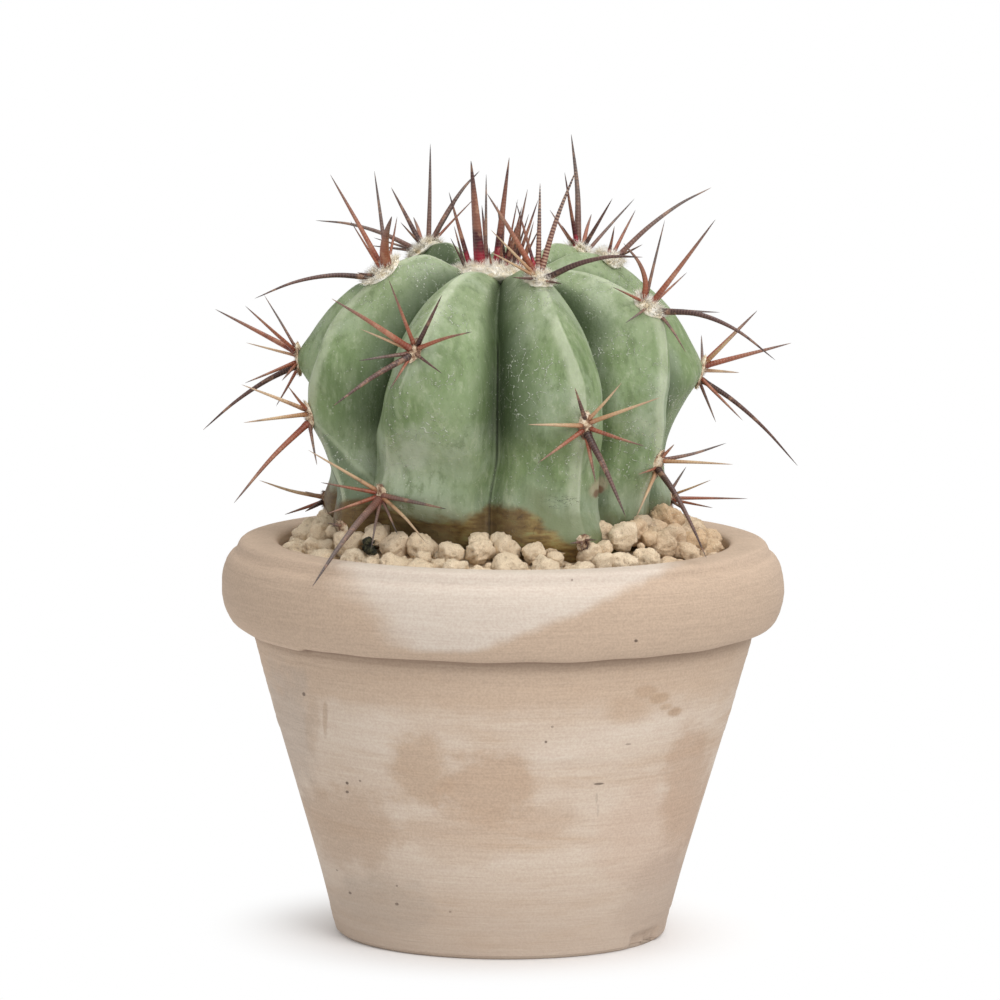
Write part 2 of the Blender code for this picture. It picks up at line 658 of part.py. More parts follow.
def stone_spots(dice, needles):
    """Places and sizes of the grains: evenly strewn, clear of the wall and the spines."""
    spots = []
    tries = 0
    while len(spots) < STONE_COUNT and tries < 20000:
        tries += 1
        size = dice.uniform(*STONE_SIZE)
        r = dice.uniform(44.0, LIP_RADIUS - 1.2 - size)
        azimuth = dice.uniform(0, 360)
        place = direction(azimuth) * r
        if any((place - old).length < STONE_SPACING for old, _, _ in spots):
            continue
        z = gravel_height(r) + size * dice.uniform(0.1, 0.35)
        for line, radius in needles:
            room = (size * 1.3 + radius + 0.6) * MM
            while distance_to_line(Vector((place.x, place.y, z)) * MM, line) < room:
                z -= 0.4
        if z + size * 0.5 < gravel_height(r) or z - size * 1.25 < SOIL_TOP + GAP:
            continue
        spots.append((place, z, size))
    return spots


def make_gravel(group, material, needles):
    """Gravel dressing: bed and grains as one solid, with a hole that the stem stands in."""
    radii = (LIP_RADIUS - 1.0 - GAP, 58.0, 54.0, 50.0, 46.0, 42.0)
    top = [(r, gravel_height(r)) for r in radii]
    profile = top + [(GRAVEL_INNER, GRAVEL_MOUND_Z), (GRAVEL_INNER, SOIL_TOP + GAP)]
    profile.append((inner_wall(SOIL_TOP + GAP) - GAP - 0.4, SOIL_TOP + GAP))
    gravel = turned("gravel", profile, group, material)
    dice = random.Random(SEED + 1)
    stones = []
    for place, z, size in stone_spots(dice, needles):
        spot = Vector((place.x, place.y, z)) * MM
        stones.append(mesh_object("stone", stone_mesh(spot, size, dice), group))
    combine(gravel, stones, "UNION")
    combine(gravel, [mesh_object("hole", stem_mesh(0.5), group)], "DIFFERENCE")
    keep_largest(gravel)
    return gravel


def make_soil(group, material):
    """Soil that fills the pot, with a plain socket for the stem's base."""
    low = FLOOR_TOP + GAP
    profile = (
        (0, SOIL_TOP), (inner_wall(SOIL_TOP) - GAP - 0.1, SOIL_TOP),
        (inner_wall(low + 1.6) - GAP - 0.1, low + 1.6), (FLOOR_RADIUS - 1.0, low), (0, low),
    )
    soil = turned("soil", profile, group, material)
    combine(soil, [mesh_object("socket", stem_mesh(0.5), group)], "DIFFERENCE")
    return soil


def main():
    """Build every piece."""
    clear_scene()
    group = new_collection("potted_barrel_cactus")
    clay = make_material("terracotta", (0.60, 0.44, 0.34), 0.9)
    earth = make_material("potting_soil", (0.05, 0.032, 0.02), 0.95)
    pumice = make_material("pumice_gravel", (0.53, 0.41, 0.27), 0.95)
    skin = make_material("stem_skin", (0.26, 0.36, 0.22), 0.6)
    spine = make_material("spines_and_felt", (0.36, 0.15, 0.10), 0.6)
    clusters = all_clusters()
    needles = [needle for cluster in clusters for needle in cluster[3]]
    make_pot(group, clay)
    make_soil(group, earth)
    make_gravel(group, pumice, needles)
    stem = mesh_object("stem", stem_mesh(), group, skin)
    seats = [mesh_object("seat", pad_mesh(c[1], c[2], GAP), group) for c in clusters]
    seats.append(mesh_object("seat", crown_mesh(GAP), group))
    combine(stem, seats, "DIFFERENCE")
    for name, frame, half_length, spines in clusters:
        make_cluster(name, frame, half_length, spines, group, spine)
    make_crown(group, spine)


main()
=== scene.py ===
"""Potted barrel cactus in a clay pot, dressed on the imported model.

Lengths are in millimetres and turned to metres by MM. The pot stands on z = 0, the front
looks along -Y, and azimuths are in degrees from -Y, positive towards +X.
"""

import math
import random
from contextlib import contextmanager
from functools import partial

import bpy
import numpy as np
from mathutils import Matrix, Vector, noise


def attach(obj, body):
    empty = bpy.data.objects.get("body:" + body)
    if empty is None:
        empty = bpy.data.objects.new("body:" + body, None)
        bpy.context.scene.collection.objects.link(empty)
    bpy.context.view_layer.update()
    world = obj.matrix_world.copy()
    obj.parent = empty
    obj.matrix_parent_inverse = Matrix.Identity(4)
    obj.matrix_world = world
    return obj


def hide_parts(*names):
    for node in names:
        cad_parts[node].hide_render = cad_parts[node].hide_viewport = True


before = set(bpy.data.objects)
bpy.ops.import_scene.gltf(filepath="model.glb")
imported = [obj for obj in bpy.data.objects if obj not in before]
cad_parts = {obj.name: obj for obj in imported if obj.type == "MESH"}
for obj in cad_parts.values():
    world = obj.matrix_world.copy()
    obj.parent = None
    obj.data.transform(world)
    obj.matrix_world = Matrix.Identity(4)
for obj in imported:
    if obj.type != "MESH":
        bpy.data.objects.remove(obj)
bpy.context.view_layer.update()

MM = 0.001
SEED = 41
MERGE_DISTANCE = 0.00001
PHOTO_SIDE = 1000

# Camera, from the ellipses of the rim, the lip and the foot
CAMERA_BACK = 2000.0
CAMERA_UP = 373.0
CAMERA_RIGHT = -1.1
CAMERA_DOWN_DEG = 7.10
CAMERA_ROLL_DEG = 0.46
CAMERA_FOCAL_PX = 7094.0
SENSOR = 36.0

# Light
ROOM_LIGHT = 0.62
KEY_PLACE = (0.80, -1.55, 1.50)
KEY_AIM = (0.0, 0.0, 0.12)
KEY_SIZE = 1.1
KEY_POWER = 25.0
TOP_PLACE = (0.3, 0.2, 1.8)
TOP_AIM = (0.0, 0.0, 0.1)
TOP_SIZE = 1.2
TOP_POWER = 14.0
FLOOR_RADIUS = 3.0
# Radii in metres over which the floor turns into a white glow: painted light that washes out the
# pot's shadow
FLOOR_FADE = (0.038, 0.088)

# Pot
POT_SIDES = 320
POT_HEIGHT = 113.0
LIP_RADIUS = 64.0
RIM_TOP_RADIUS = 74.6
RIM_RADIUS = 80.0
FOOT_RADIUS = 47.0
DRAIN_RADIUS = 8.0
RIM_MIDDLE = 100.5
LIP_EDGE = 88.0
FLOOR_TOP = 9.0
POT_OUTSIDE = (
    (FOOT_RADIUS - 1.2, 0.1), (FOOT_RADIUS, 1.1), (FOOT_RADIUS + 0.6, 3.0), (52.0, 20.0),
    (58.4, 42.0), (64.6, 63.0), (70.2, 82.4), (71.2, 86.6), (71.6, 88.2), (72.2, 88.7),
    (73.6, 88.3), (75.2, 88.4), (77.2, 89.9), (79.0, 93.4), (80.0, 98.4), (79.6, 103.4),
    (78.6, 106.6), (77.4, 108.5),
    (75.9, 109.6), (75.3, 111.2), (74.2, 112.5), (71.5, 112.9), (68.0, 112.9),
    (65.6, 112.7), (64.3, 111.9), (63.9, 110.0),
)
POT_INSIDE = ((63.7, 104.0), (52.0, 58.0), (41.0, 12.0), (38.6, 9.2), (20.0, 9.0), (8.6, 9.0))
RING_STEP = 0.75

# Unevenness of the thrown wall: height and size of its sway, then its ripples as (height,
# repeats round, repeats up)
WALL_SWAY = 0.32
WALL_SWAY_SIZE = 34
WALL_RIPPLES = ((0.11, 0.7, 0.55), (0.06, 1.6, 1.5))
CHIP_DEPTH = 1.6

CLAY = "#C8B5A3"
CLAY_TAN = "#BBA28B"
CLAY_PALE = "#D0C0B0"
RIM_TAN = "#B9A28D"
RIM_PALE = "#CFC2B5"

# Blots on the front of the wall: x, z, half width, half height, share, colour
CLAY_BLOTS = (
    (-23, 56, 8, 10.5, 0.75, "#B59B83"), (-3, 51, 13, 10.5, 0.75, "#B59A82"),
    (11, 41, 10, 5.5, 0.55, "#B9A08A"), (-12, 36, 15, 8, 0.4, "#B9A08A"),
    (43, 34, 15, 17, 0.45, "#C0A591"), (52, 46, 7, 20, 0.62, "#B1957E"),
    (-44, 35, 15, 12, 0.6, "#B0967F"), (-33, 14, 15, 8, 0.4, "#ABA094"),
    (47, 13, 13, 15, 0.5, "#AB9585"), (-60, 60, 7, 22, 0.55, "#AF9F91"),
    (40, 78, 3.2, 2, 0.55, "#AC9076"), (43.5, 75.4, 2.6, 1.6, 0.6, "#A98C70"),
    (48, 70.6, 2, 1.4, 0.65, "#A4866A"), (35, 72, 6, 4.5, 0.45, "#B59A81"),
    (45.5, 72.5, 1.8, 1, 0.45, "#A98C70"), (-53, 65, 2.2, 9, 0.35, "#AE947C"),
    (-49.4, 67, 0.7, 5, 0.45, "#A2876E"), (-41, 107, 8, 3.0, 0.6, "#D6C9BA"),
)

# Pits, nicks and scratches on the front: x, z, half width, half height, share
CLAY_MARKS = (
    (-43.2, 49.1, 0.4, 0.4, 0.8), (-43.2, 46.4, 0.45, 0.4, 0.7), (-39.5, 50.4, 0.3, 0.3, 0.5),
    (-42.5, 15.3, 0.4, 0.4, 0.6), (-29.1, 20.2, 0.35, 0.3, 0.5), (-29.1, 14.7, 0.5, 0.4, 0.6),
    (12.1, 64.6, 0.4, 0.4, 0.7), (13.8, 69.0, 0.4, 0.4, 0.4), (36.6, 93.9, 0.45, 0.4, 0.8),
    (18.8, 111.0, 0.35, 0.35, 0.5), (-55.5, 73.6, 0.45, 0.6, 0.7), (-46.3, 21.2, 0.4, 0.3, 0.4),
    (27.0, 51.5, 1.5, 0.35, 0.7), (26.4, 47.4, 0.4, 1.6, 0.2), (26.8, 43.6, 0.3, 1.8, 0.15),
    (-14.1, 13.9, 0.4, 0.35, 0.4), (35.0, 62.6, 0.8, 0.25, 0.4),
)

# Soil and gravel
SOIL_TOP = 100.8
GRAVEL_EDGE_Z = 107.6
GRAVEL_MOUND_Z = 113.4
WALL_AT_GRAVEL = 63.5
STEM_AT_GRAVEL = 44.0
STREW_TRIES = 30000
CRUMB_SINK = 0.8
PERCHED_SHARE = 0.12
SINK_STEP = 0.4

# Large, middling and small grains: how many, their radii, and how close they may lie
GRAINS = ((130, (3.7, 5.2), 0.80), (120, (2.5, 3.3), 0.78), (320, (1.2, 1.9), 0.80))

# Crumb of moss: its middle, its lumps as (offset, radius), and how many fibres it has
MOSS_PLACE = Vector((-37.4, -43.5, 116.1))
MOSS_LUMPS = (((0, 0, -0.9), 1.8), ((-0.5, 0, 1.3), 1.6), ((1.3, -0.4, -1.7), 1.1))
MOSS_FIBRES = 160

# Stem: each pair is (radius, height), from the crown down to the buried base
CREST = (
    (0.0, 187.0), (7.0, 188.6), (15.0, 190.4), (24.0, 190.6), (33.0, 188.6), (42.0, 184.2),
    (49.0, 178.2), (54.4, 170.4), (57.0, 161.0), (54.4, 151.0), (51.2, 141.0), (49.8, 131.0),
    (48.6, 121.0), (44.8, 112.0), (40.5, 103.0), (34.0, 93.0), (20.0, 86.0), (0.0, 84.0),
)
VALLEY = (
    (0.0, 187.0), (6.0, 187.0), (11.0, 185.4), (17.0, 183.0), (23.0, 180.0), (28.0, 175.8),
    (32.0, 170.0), (34.6, 163.0), (35.4, 154.6), (35.4, 146.6), (35.4, 138.0), (36.4, 129.0),
    (38.4, 120.0), (40.8, 112.0), (39.6, 103.0), (33.4, 93.0), (20.0, 86.0), (0.0, 84.0),
)
STEM_SIDES = 34
STEM_RINGS = 150
FACE_POWER = 1.15
CREST_ROUND = 0.06
SLOT_SIZE = 0.13
NARROW_SLOT = 0.22
WIDE_SLOT = 0.5
FULL_SPACING = 40.0
STEM_X = -1.0
STEM_TILT = 0.03
SWELL_SIZE = 6.5
SWELL_RISE = 2.8
SKIN_SWELLS = ((0.35, 14), (0.10, 4))
PLEAT_HEIGHT = 0.10
SEAM_X = -2.0
SEAM_FOOT_X = -4.0

# Crests that bow aside: rib number from 0, then degrees, middle height, half height
CREST_BOWS = {0: (-1.2, 163.0, 6.0), 2: (-6.0, 158.0, 12.0), 8: (4.2, 167.0, 8.0)}
CREST_DENT = {2: (-1.5, 160.0, 12.0)}

# Flanks, two to each segment from crest to crest: strength and start of the shade
FLANK_SHADES = {0: ((0.66, 0.50), (0.9, 0.08)), 1: ((0.8, 0.6), (0.5, 0.58)),
                8: ((0.85, 0.10), (0.85, 0.32))}
OTHER_SHADES = ((0.8, 0.5), (0.85, 0.32))

# Width of the painted highlight along the crest on each flank, as a share of it
HIGHLIGHT_WIDTHS = {0: (0.27, 0.27), 1: (0.07, 0.27), 2: (0.06, 0.03), 7: (0.10, 0.05), 8: (0.27, 0.05)}
OTHER_HIGHLIGHTS = (0.15, 0.15)

# Blots on the front of the stem: x, z, half width, half height, share, colour
SKIN_BLOTS = (
    (-24.5, 144, 4.5, 6, 0.50, "#B7BFAA"), (17.5, 147, 4.5, 8, 0.40, "#66744C"),
    (33, 147, 3.5, 6, 0.35, "#66744C"), (-11.5, 133, 4.5, 8, 0.35, "#6F7F58"),
    (9, 134, 4, 5, 0.35, "#93A084"), (26.5, 132, 2.8, 2.2, 0.55, "#B9A58E"),
)

# Ribs: azimuth, (lean of the lower part, height it starts at, height it ends at),
# (extra reach high, extra reach low, extra reach at the foot, rise of the shoulder),
# then each areole's height and half length
RIBS = (
    (-26.0, (-18.0, 172.0, 130.0), (-0.6, -4.2, -6.0, 0.5), ((171.5, 4.0), (129.5, 3.0))),
    (19.5, (5.5, 186.0, 160.0), (-2.6, 1.4, 2.6, 2.0),
     ((190.0, 4.8), (151.0, 4.0), (118.4, 2.4))),
    (64.0, (-3.0, 150.0, 130.0), (-1.6, -3.4, 0.0, 0.0), ((181.4, 5.0), (137.4, 4.0))),
    (109.0, (0.0, 172.0, 130.0), (0.8, -1.2, 1.0, 3.2),
     ((192.0, 3.6), (158.8, 5.0), (122.6, 4.0))),
    (140.0, (9.0, 172.0, 130.0), (0.5, 0.5, 1.0, 4.5),
     ((191.9, 4.2), (154.0, 4.6), (120.5, 3.4))),
    (180.0, (-3.0, 172.0, 130.0), (0.5, 0.5, 0.0, 3.0), ((170.0, 4.4), (131.0, 4.0))),
    (222.0, (-10.0, 176.0, 140.0), (0.5, 0.8, 1.0, 4.5),
     ((193.0, 5.0), (151.0, 4.4), (119.0, 3.2))),
    (251.0, (0.0, 172.0, 130.0), (1.6, 0.8, 1.0, -6.0), ((161.6, 4.8), (121.4, 2.6))),
    (289.0, (15.0, 148.0, 124.0), (0.4, 2.4, 0.0, 4.0),
     ((189.8, 6.0), (149.6, 4.4), (119.6, 2.0))),
)
PAD_HALF_WIDTH = 2.5
PAD_HALF_THICK = 1.5
OLD_HALF_WIDTH = 2.1
OLD_HALF_THICK = 0.8

# Hairs: how many, on a young pad for each mm of half width, then shortest and longest
HAIR_RADIUS = 0.07
OLD_HAIRS = 260
YOUNG_HAIRS = 330
CROWN_HAIRS = 3600
OLD_HAIR = (0.4, 1.2)
YOUNG_HAIR = (1.0, 2.9)
CROWN_HAIR = (1.4, 3.2)

# Half widths of the young pads near the crown
YOUNG = {"rib2_a": 3.6, "rib3_a": 3.4, "rib4_a": 4.8, "rib5_a": 4.8, "rib7_a": 4.8, "rib9_a": 3.4}
CROWN_RADIUS = 11.0
CROWN_THICK = 3.0
CROWN_RIGHT = -3.0
CROWN_BACK = -0.5
CROWN_LIFT = 1.6

# Master spine, 1 m long and 1 m in radius: its widths, its taper and the collar at its root
UNIT = 1000.0
ROOT_WIDTH = 0.9
TIP_WIDTH = 0.03
TAPER = 0.62
COLLAR = 0.16

# Copies of it: thicker than the rows below say, from some root radius with more rings or flatter
THICKER = 1.14
STRAY = 0.25
THICK_FROM = 0.75
FLAT_FROM = 1.15
FLAT = 1.25
NEARLY_ROUND = 1.08

# Where a spine leaves its pad: shares of the pad's half length and half width, and its lift
ROOT_UP_SHARE = 0.62
ROOT_SIDE_SHARE = 0.5
ROOT_LIFT = 0.35

# Tones of the horn, from root to tip
STRAW, RUST, DARK, CRIMSON, GREY, BEADED = range(6)
SPINE_TONES = (
    ((0.0, "#8C4E34"), (0.14, "#AE8460"), (0.5, "#C6A884"), (1.0, "#A99078")),
    ((0.0, "#743020"), (0.18, "#98543C"), (0.5, "#945E48"), (0.8, "#785A4E"), (1.0, "#504240")),
    ((0.0, "#2E1C1A"), (0.3, "#4A302C"), (0.65, "#5E423C"), (1.0, "#3A2C2A")),
    ((0.0, "#B02038"), (0.19, "#961D34"), (0.24, "#4A1820"), (0.35, "#54201F"), (0.41, "#8E5C48"),
     (0.66, "#80503F"), (0.82, "#553430"), (1.0, "#2C2222")),
    ((0.0, "#6E4034"), (0.2, "#76564C"), (0.55, "#6C5C56"), (1.0, "#463E3E")),
    ((0.0, "#7A3A30"), (0.3, "#7E5044"), (0.6, "#6A5450"), (1.0, "#403838")),
)

# Spines: (right, back, up, root radius, tone, arch up, arch right) as seen from the front
SPINES = {
    "rib1_a": (
        (-21.7, -8, 14.6, 0.9, RUST, 0.5), (-7.1, -6, 18.9, 0.6, RUST), (6.8, -8, 14.9, 0.7, DARK),
        (15, -9, 5.7, 0.65, RUST, 0.4), (-13.7, -3, 6, 0.5, STRAW), (-13.9, -5, -1.6, 0.6, GREY),
        (-20.8, -16, -12.4, 0.9, DARK, 0.8), (-5.4, -5, -8.4, 0.5, RUST),
        (7.4, -8, -4.6, 0.5, DARK),
    ),
    "rib1_b": (
        (-19.3, -2, 11.5, 0.6, STRAW), (-15.7, -2, 3, 0.6, RUST), (-14, -6, -4.2, 0.65, RUST),
        (-18, -32, -20.5, 1.0, GREY, 1.6), (-2.4, -15, -12.5, 0.5, GREY, 0.5),
        (4.6, -12, -8.5, 0.45, GREY), (12.6, -21, -10, 0.6, STRAW, 0.8), (18, -13, -2, 0.8, GREY),
    ),
    "rib2_a": (
        (-13.8, -3, 22.9, 0.9, RUST, 0.6), (-12.8, -8, 13.7, 0.55, STRAW),
        (-13, -7, 7.6, 0.5, STRAW), (-5.9, 3, 19.8, 0.6, CRIMSON), (0.4, 4, 25, 0.7, BEADED),
        (10, 3, 29.6, 0.9, BEADED, 0, -0.8), (27.1, -10, 7.3, 0.9, DARK, 2.4),
        (-7, -7, 1, 0.5, DARK), (5, -7, 0, 0.5, DARK),
    ),
    "rib2_b": (
        (-2.9, -5, 9.2, 0.6, DARK), (9, -3, 10.6, 0.55, STRAW), (19.3, -5, 7.7, 0.65, STRAW),
        (-15, -7, 1, 0.65, STRAW), (-12.5, -9, -8.2, 0.7, RUST), (2.6, -7, -12.7, 0.65, RUST),
        (10.7, -16, -21.2, 0.95, DARK, 1.0), (15.3, -6, -4.2, 0.65, RUST),
    ),
    "rib2_c": (
        (-3, -4, 0.2, 0.4, GREY), (0, -5, -0.2, 0.4, GREY), (3, -4, 0.6, 0.4, GREY),
    ),
    "rib3_a": (
        (-5.8, -5, 16.6, 0.8, RUST, 0, 2.8), (5.2, -3, 23.3, 0.6, GREY),
        (17.9, -2, 24.4, 0.85, RUST), (10.1, 6, 8.8, 0.5, RUST), (32.8, -10, -12.3, 0.9, DARK, 4.4),
        (18, 4, -1, 0.55, GREY), (8, -4, -10.9, 0.6, GREY, 0.8), (-6.6, -9, -3.9, 0.45, GREY),
        (-9, -8, 5, 0.5, RUST),
    ),
    "rib3_b": (
        (3.4, -1, 3.8, 0.55, RUST), (18, 3, 4.6, 0.6, GREY, -0.4), (19.9, -5, -0.2, 0.6, STRAW),
        (13.2, -29, -21.4, 0.85, DARK, 2.2), (-5.7, -10, -11.8, 0.55, STRAW),
        (-5.5, -4, -1.5, 0.45, RUST),
    ),
    "rib4_a": (
        (1.7, -4, 9, 0.5, CRIMSON), (27.5, 8, 20.1, 0.8, GREY, 2.2), (8.1, -5, 4.6, 0.5, DARK),
        (3.5, 6, 6, 0.45, STRAW), (7, 10, 13, 0.55, RUST),
    ),
    "rib4_b": (
        (-0.2, 8, 7.7, 0.5, GREY), (10.6, -4, 11.8, 0.6, STRAW), (15.3, 6, 14.8, 0.85, RUST),
        (25, 2, 6.6, 0.85, RUST), (11.4, 12, -1.9, 0.6, STRAW), (28.6, 6, -25.6, 0.8, DARK, 2.6),
        (11.9, -7, -11.4, 0.6, RUST), (5.2, 5, -12.7, 0.5, GREY),
    ),
    "rib4_c": (
        (4.6, 4, 6.8, 0.5, GREY), (11.1, -5, 5.1, 0.4, STRAW), (22.2, 5, -0.6, 0.55, RUST),
        (11.7, -7, -1.4, 0.5, RUST), (4.2, -8, -2, 0.5, DARK),
    ),
    "rib5_a": (
        (-2.1, 4, 32.7, 0.9, GREY, 0, 0.8), (-3.9, -3, 22.2, 0.7, CRIMSON),
        (-4.4, -6, 7, 0.55, CRIMSON), (14.5, 12, 15.3, 0.6, GREY), (8.7, -2, 15.3, 0.7, DARK),
        (-8, 10, 11, 0.55, RUST), (3, 20, 10, 0.7, RUST, 1.0),
    ),
    "rib7_a": (
        (-29.7, 6, 8, 0.75, GREY, 2.0), (-14, 3, 1.3, 0.5, GREY), (-13.1, 8, 3.2, 0.5, GREY),
        (-9.3, 5, 17, 0.8, DARK), (-6.5, -4, 7.4, 0.5, DARK), (0.3, 4, 28.8, 0.7, GREY),
        (14, 5, 21, 0.85, GREY, 2.4), (7.2, -6, 12.2, 0.5, GREY), (12.9, 8, 13.3, 0.5, RUST),
        (-3, 19, 8, 0.7, RUST, 1.0),
    ),
    "rib8_a": (
        (-9.6, 4, 15.4, 0.5, GREY), (-14.5, -5, 13.6, 0.65, RUST), (-23.7, 7, 11.5, 0.85, RUST),
        (-15.4, 14, 2.3, 0.5, STRAW), (-26.8, -4, -18.4, 0.85, DARK, 1.8),
        (-14.3, -12, -5, 0.6, RUST), (-3.9, -9, -4.1, 0.5, RUST), (-6.7, 8, -12.4, 0.5, RUST),
    ),
    "rib8_b": (
        (-18.5, 3, 4.3, 0.65, STRAW, -0.6), (-11, -3, -3.5, 0.6, RUST), (-5, -6, -2.2, 0.7, DARK),
        (-6, 7, 1, 0.5, RUST),
    ),
    "rib9_a": (
        (-32.6, -9, -5.3, 0.8, DARK, 3.0), (-15, 4, 26, 0.85, RUST), (-8.7, -6, 14.5, 0.5, RUST),
        (1.6, -10, 15.2, 1.2, RUST, 0, -1.2), (-3.8, 3, 26.4, 0.7, GREY), (2.4, 7, 13, 0.45, RUST),
        (-5, -6, 1.4, 0.5, DARK),
    ),
    "rib9_b": (
        (-18, -4, 7.4, 0.65, STRAW), (-5, -9, 7.6, 0.5, RUST), (-17.5, -13, -1.1, 0.65, STRAW),
        (-20.5, -12, -21.5, 0.9, RUST, 1.0), (-9.2, 3, -10.2, 0.6, RUST),
        (2.4, -9, -10.9, 0.5, GREY),
    ),
    "rib9_c": (
        (-3.6, -2, 0.8, 0.4, GREY), (-3, -4, 0.4, 0.4, GREY),
    ),
}

# Crown spines: (start right, start back), then right, back, up, root radius and tone; the last
# eight are thin young ones
CROWN_SPINES = (
    ((-3.1, -1.0), (-3.0, -2, 32, 1.6, CRIMSON)), ((-1.8, 3.4), (0, 4, 27.5, 0.6, GREY)),
    ((1.1, 1.0), (3.6, 3, 32.5, 1.1, CRIMSON)), ((-5.7, 1.6), (-6.6, 3, 22.5, 0.8, CRIMSON)),
    ((-6.7, -3.0), (-5, -4, 10.5, 0.5, DARK)), ((-7.2, 1.0), (-3.6, 3, 13, 0.5, DARK)),
    ((6.0, 1.6), (7, 4, 20.5, 0.7, CRIMSON)), ((5.0, 5.2), (5, 6, 23, 0.6, RUST)),
    ((3.6, -3.2), (3, -4, 14, 0.6, CRIMSON)), ((-1.0, 6.4), (-2, 8, 18, 0.7, CRIMSON)),
    ((4.0, -0.8), (4.4, 0, 19, 0.65, CRIMSON)), ((7.2, -1.8), (6, -3, 13, 0.6, CRIMSON)),
    ((2.6, 4.2), (1, 5, 16, 0.55, RUST)),
    ((5.4, 1.0), (5, -1, 17, 0.5, DARK)), ((3.2, 1.8), (4, -2, 21, 0.5, CRIMSON)),
    ((6.6, 3.4), (2, -2, 18, 0.5, CRIMSON)), ((4.4, 2.6), (-3, 1, 19, 0.5, DARK)),
    ((7.8, 0.4), (4, -1, 15, 0.5, RUST)), ((2.0, -1.6), (1, -3, 12, 0.45, CRIMSON)),
    ((5.8, -2.2), (1, -4, 11, 0.45, DARK)), ((0.2, -3.6), (-1, -5, 8, 0.45, CRIMSON)),
)

# Spines at the back: (turn from straight up, lean from the normal, length, root radius)
BACK_RADIALS = (
    (20, 60, 18, 0.6), (68, 66, 20, 0.6), (115, 64, 19, 0.6), (165, 66, 15, 0.5),
    (205, 64, 16, 0.5), (250, 64, 20, 0.65), (300, 66, 19, 0.6), (345, 58, 17, 0.55),
)
BACK_CENTRAL = (180, 38, 26, 0.85)


def direction(azimuth):
    """Level unit vector at an azimuth."""
    angle = math.radians(azimuth)
    return Vector((math.sin(angle), -math.cos(angle), 0.0))


def blend(low, high, value):
    """Smooth 0 to 1 as value goes from low to high."""
    share = min(1.0, max(0.0, (value - low) / (high - low)))
    return share * share * (3 - 2 * share)


def bell(value, middle, width):
    """Bump of height 1 round a middle value."""
    return math.exp(-((value - middle) / width) ** 2)


def curve_at(points, place, closed_ends=True):
    """Smooth point on a list of points, place from 0 to 1."""
    last = len(points) - 1
    spot = min(max(place, 0.0), 1.0) * last
    i = min(int(spot), last - 1)
    t = spot - i
    p1 = Vector(points[i])
    p2 = Vector(points[i + 1])
    p0 = Vector(points[i - 1]) if i else None
    p3 = Vector(points[i + 2]) if i < last - 1 else None
    if p0 is None:
        p0 = Vector((-p2.x, p2.y)) if closed_ends else 2 * p1 - p2
    if p3 is None:
        p3 = Vector((-p1.x, p1.y)) if closed_ends else 2 * p2 - p1
    a = 2 * p1
    b = p2 - p0
    c = 2 * p0 - 5 * p1 + 4 * p2 - p3
    d = 3 * p1 - p0 - 3 * p2 + p3
    return (a + b * t + c * t * t + d * t ** 3) / 2


def rib_azimuth(rib, z):
    """Azimuth of a rib's crest at a height."""
    turn = 360.0 * (rib // len(RIBS))
    base, (lean, start, end) = RIBS[rib % len(RIBS)][:2]
    bow, middle, reach = CREST_BOWS.get(rib % len(RIBS), (0.0, 170.0, 10.0))
    return turn + base + lean * blend(start, end, z) + bow * bell(z, middle, reach)


def crest_point(rib, place):
    """Radius and height of a rib's crest, with its swellings at the areoles."""
    _, _, (high, low, foot, rise), areoles = RIBS[rib % len(RIBS)]
    r, z = curve_at(CREST, place)
    shoulder = rise * blend(183, 190.6, z) * blend(11, 24, r)
    upper = blend(194, 168, z) * blend(138, 160, z)
    lower = blend(152, 134, z) * blend(104, 116, z)
    base = blend(128, 118, z) * blend(100, 112, z)
    dent, middle, reach = CREST_DENT.get(rib % len(RIBS), (0.0, 160.0, 12.0))
    r += high * upper + low * lower + foot * base + dent * bell(z, middle, reach)
    if z > 104:
        swell = max(math.exp(-((z - a[0]) / SWELL_SIZE) ** 2) for a in areoles)
        r += SWELL_RISE * swell * blend(190, 176, z)
    return Vector((r, z + shoulder))


def flank_share(way, spacing):
    """How far a flank has risen from furrow to crest: a steep slot, then an even face."""
    slot = NARROW_SLOT + (WIDE_SLOT - NARROW_SLOT) * blend(42, 58, spacing)
    away = math.hypot(1 - way, CREST_ROUND) - CREST_ROUND
    face = slot + (1 - slot) * (1 - away ** FACE_POWER)
    return face - slot * math.exp(-(way / SLOT_SIZE) ** 2)


def stem_point(side, place):
    """Point on the stem: side counts ribs round it from 0 to 9, place runs down it."""
    rib = int(side)
    share = side - rib
    near = crest_point(rib, place)
    far = crest_point(rib + 1, place)
    crest = near.lerp(far, blend(0.2, 0.8, share))
    start = rib_azimuth(rib, crest.y)
    end = rib_azimuth(rib + 1, crest.y)
    depth = min(1.0, (end - start) / FULL_SPACING)
    valley = crest.lerp(curve_at(VALLEY, place), depth)
    ridge = flank_share(abs(share - 0.5) * 2, end - start)
    point = valley.lerp(crest, ridge)
    turn = share
    if rib == 0:
        seam_x = SEAM_X + (SEAM_FOOT_X - SEAM_X) * blend(146, 128, crest.y)
        wanted = math.degrees(math.asin((seam_x - STEM_X) / max(12.0, valley.x)))
        drift = ((wanted - start) / (end - start) - 0.5) * blend(187, 177, crest.y)
        turn += drift * 4 * share * (1 - share)
    spot = direction(start + (end - start) * turn) * point.x
    lift = point.y + STEM_TILT * spot.y * blend(100, 160, point.y)
    return Vector((spot.x + STEM_X, spot.y, lift)) * MM


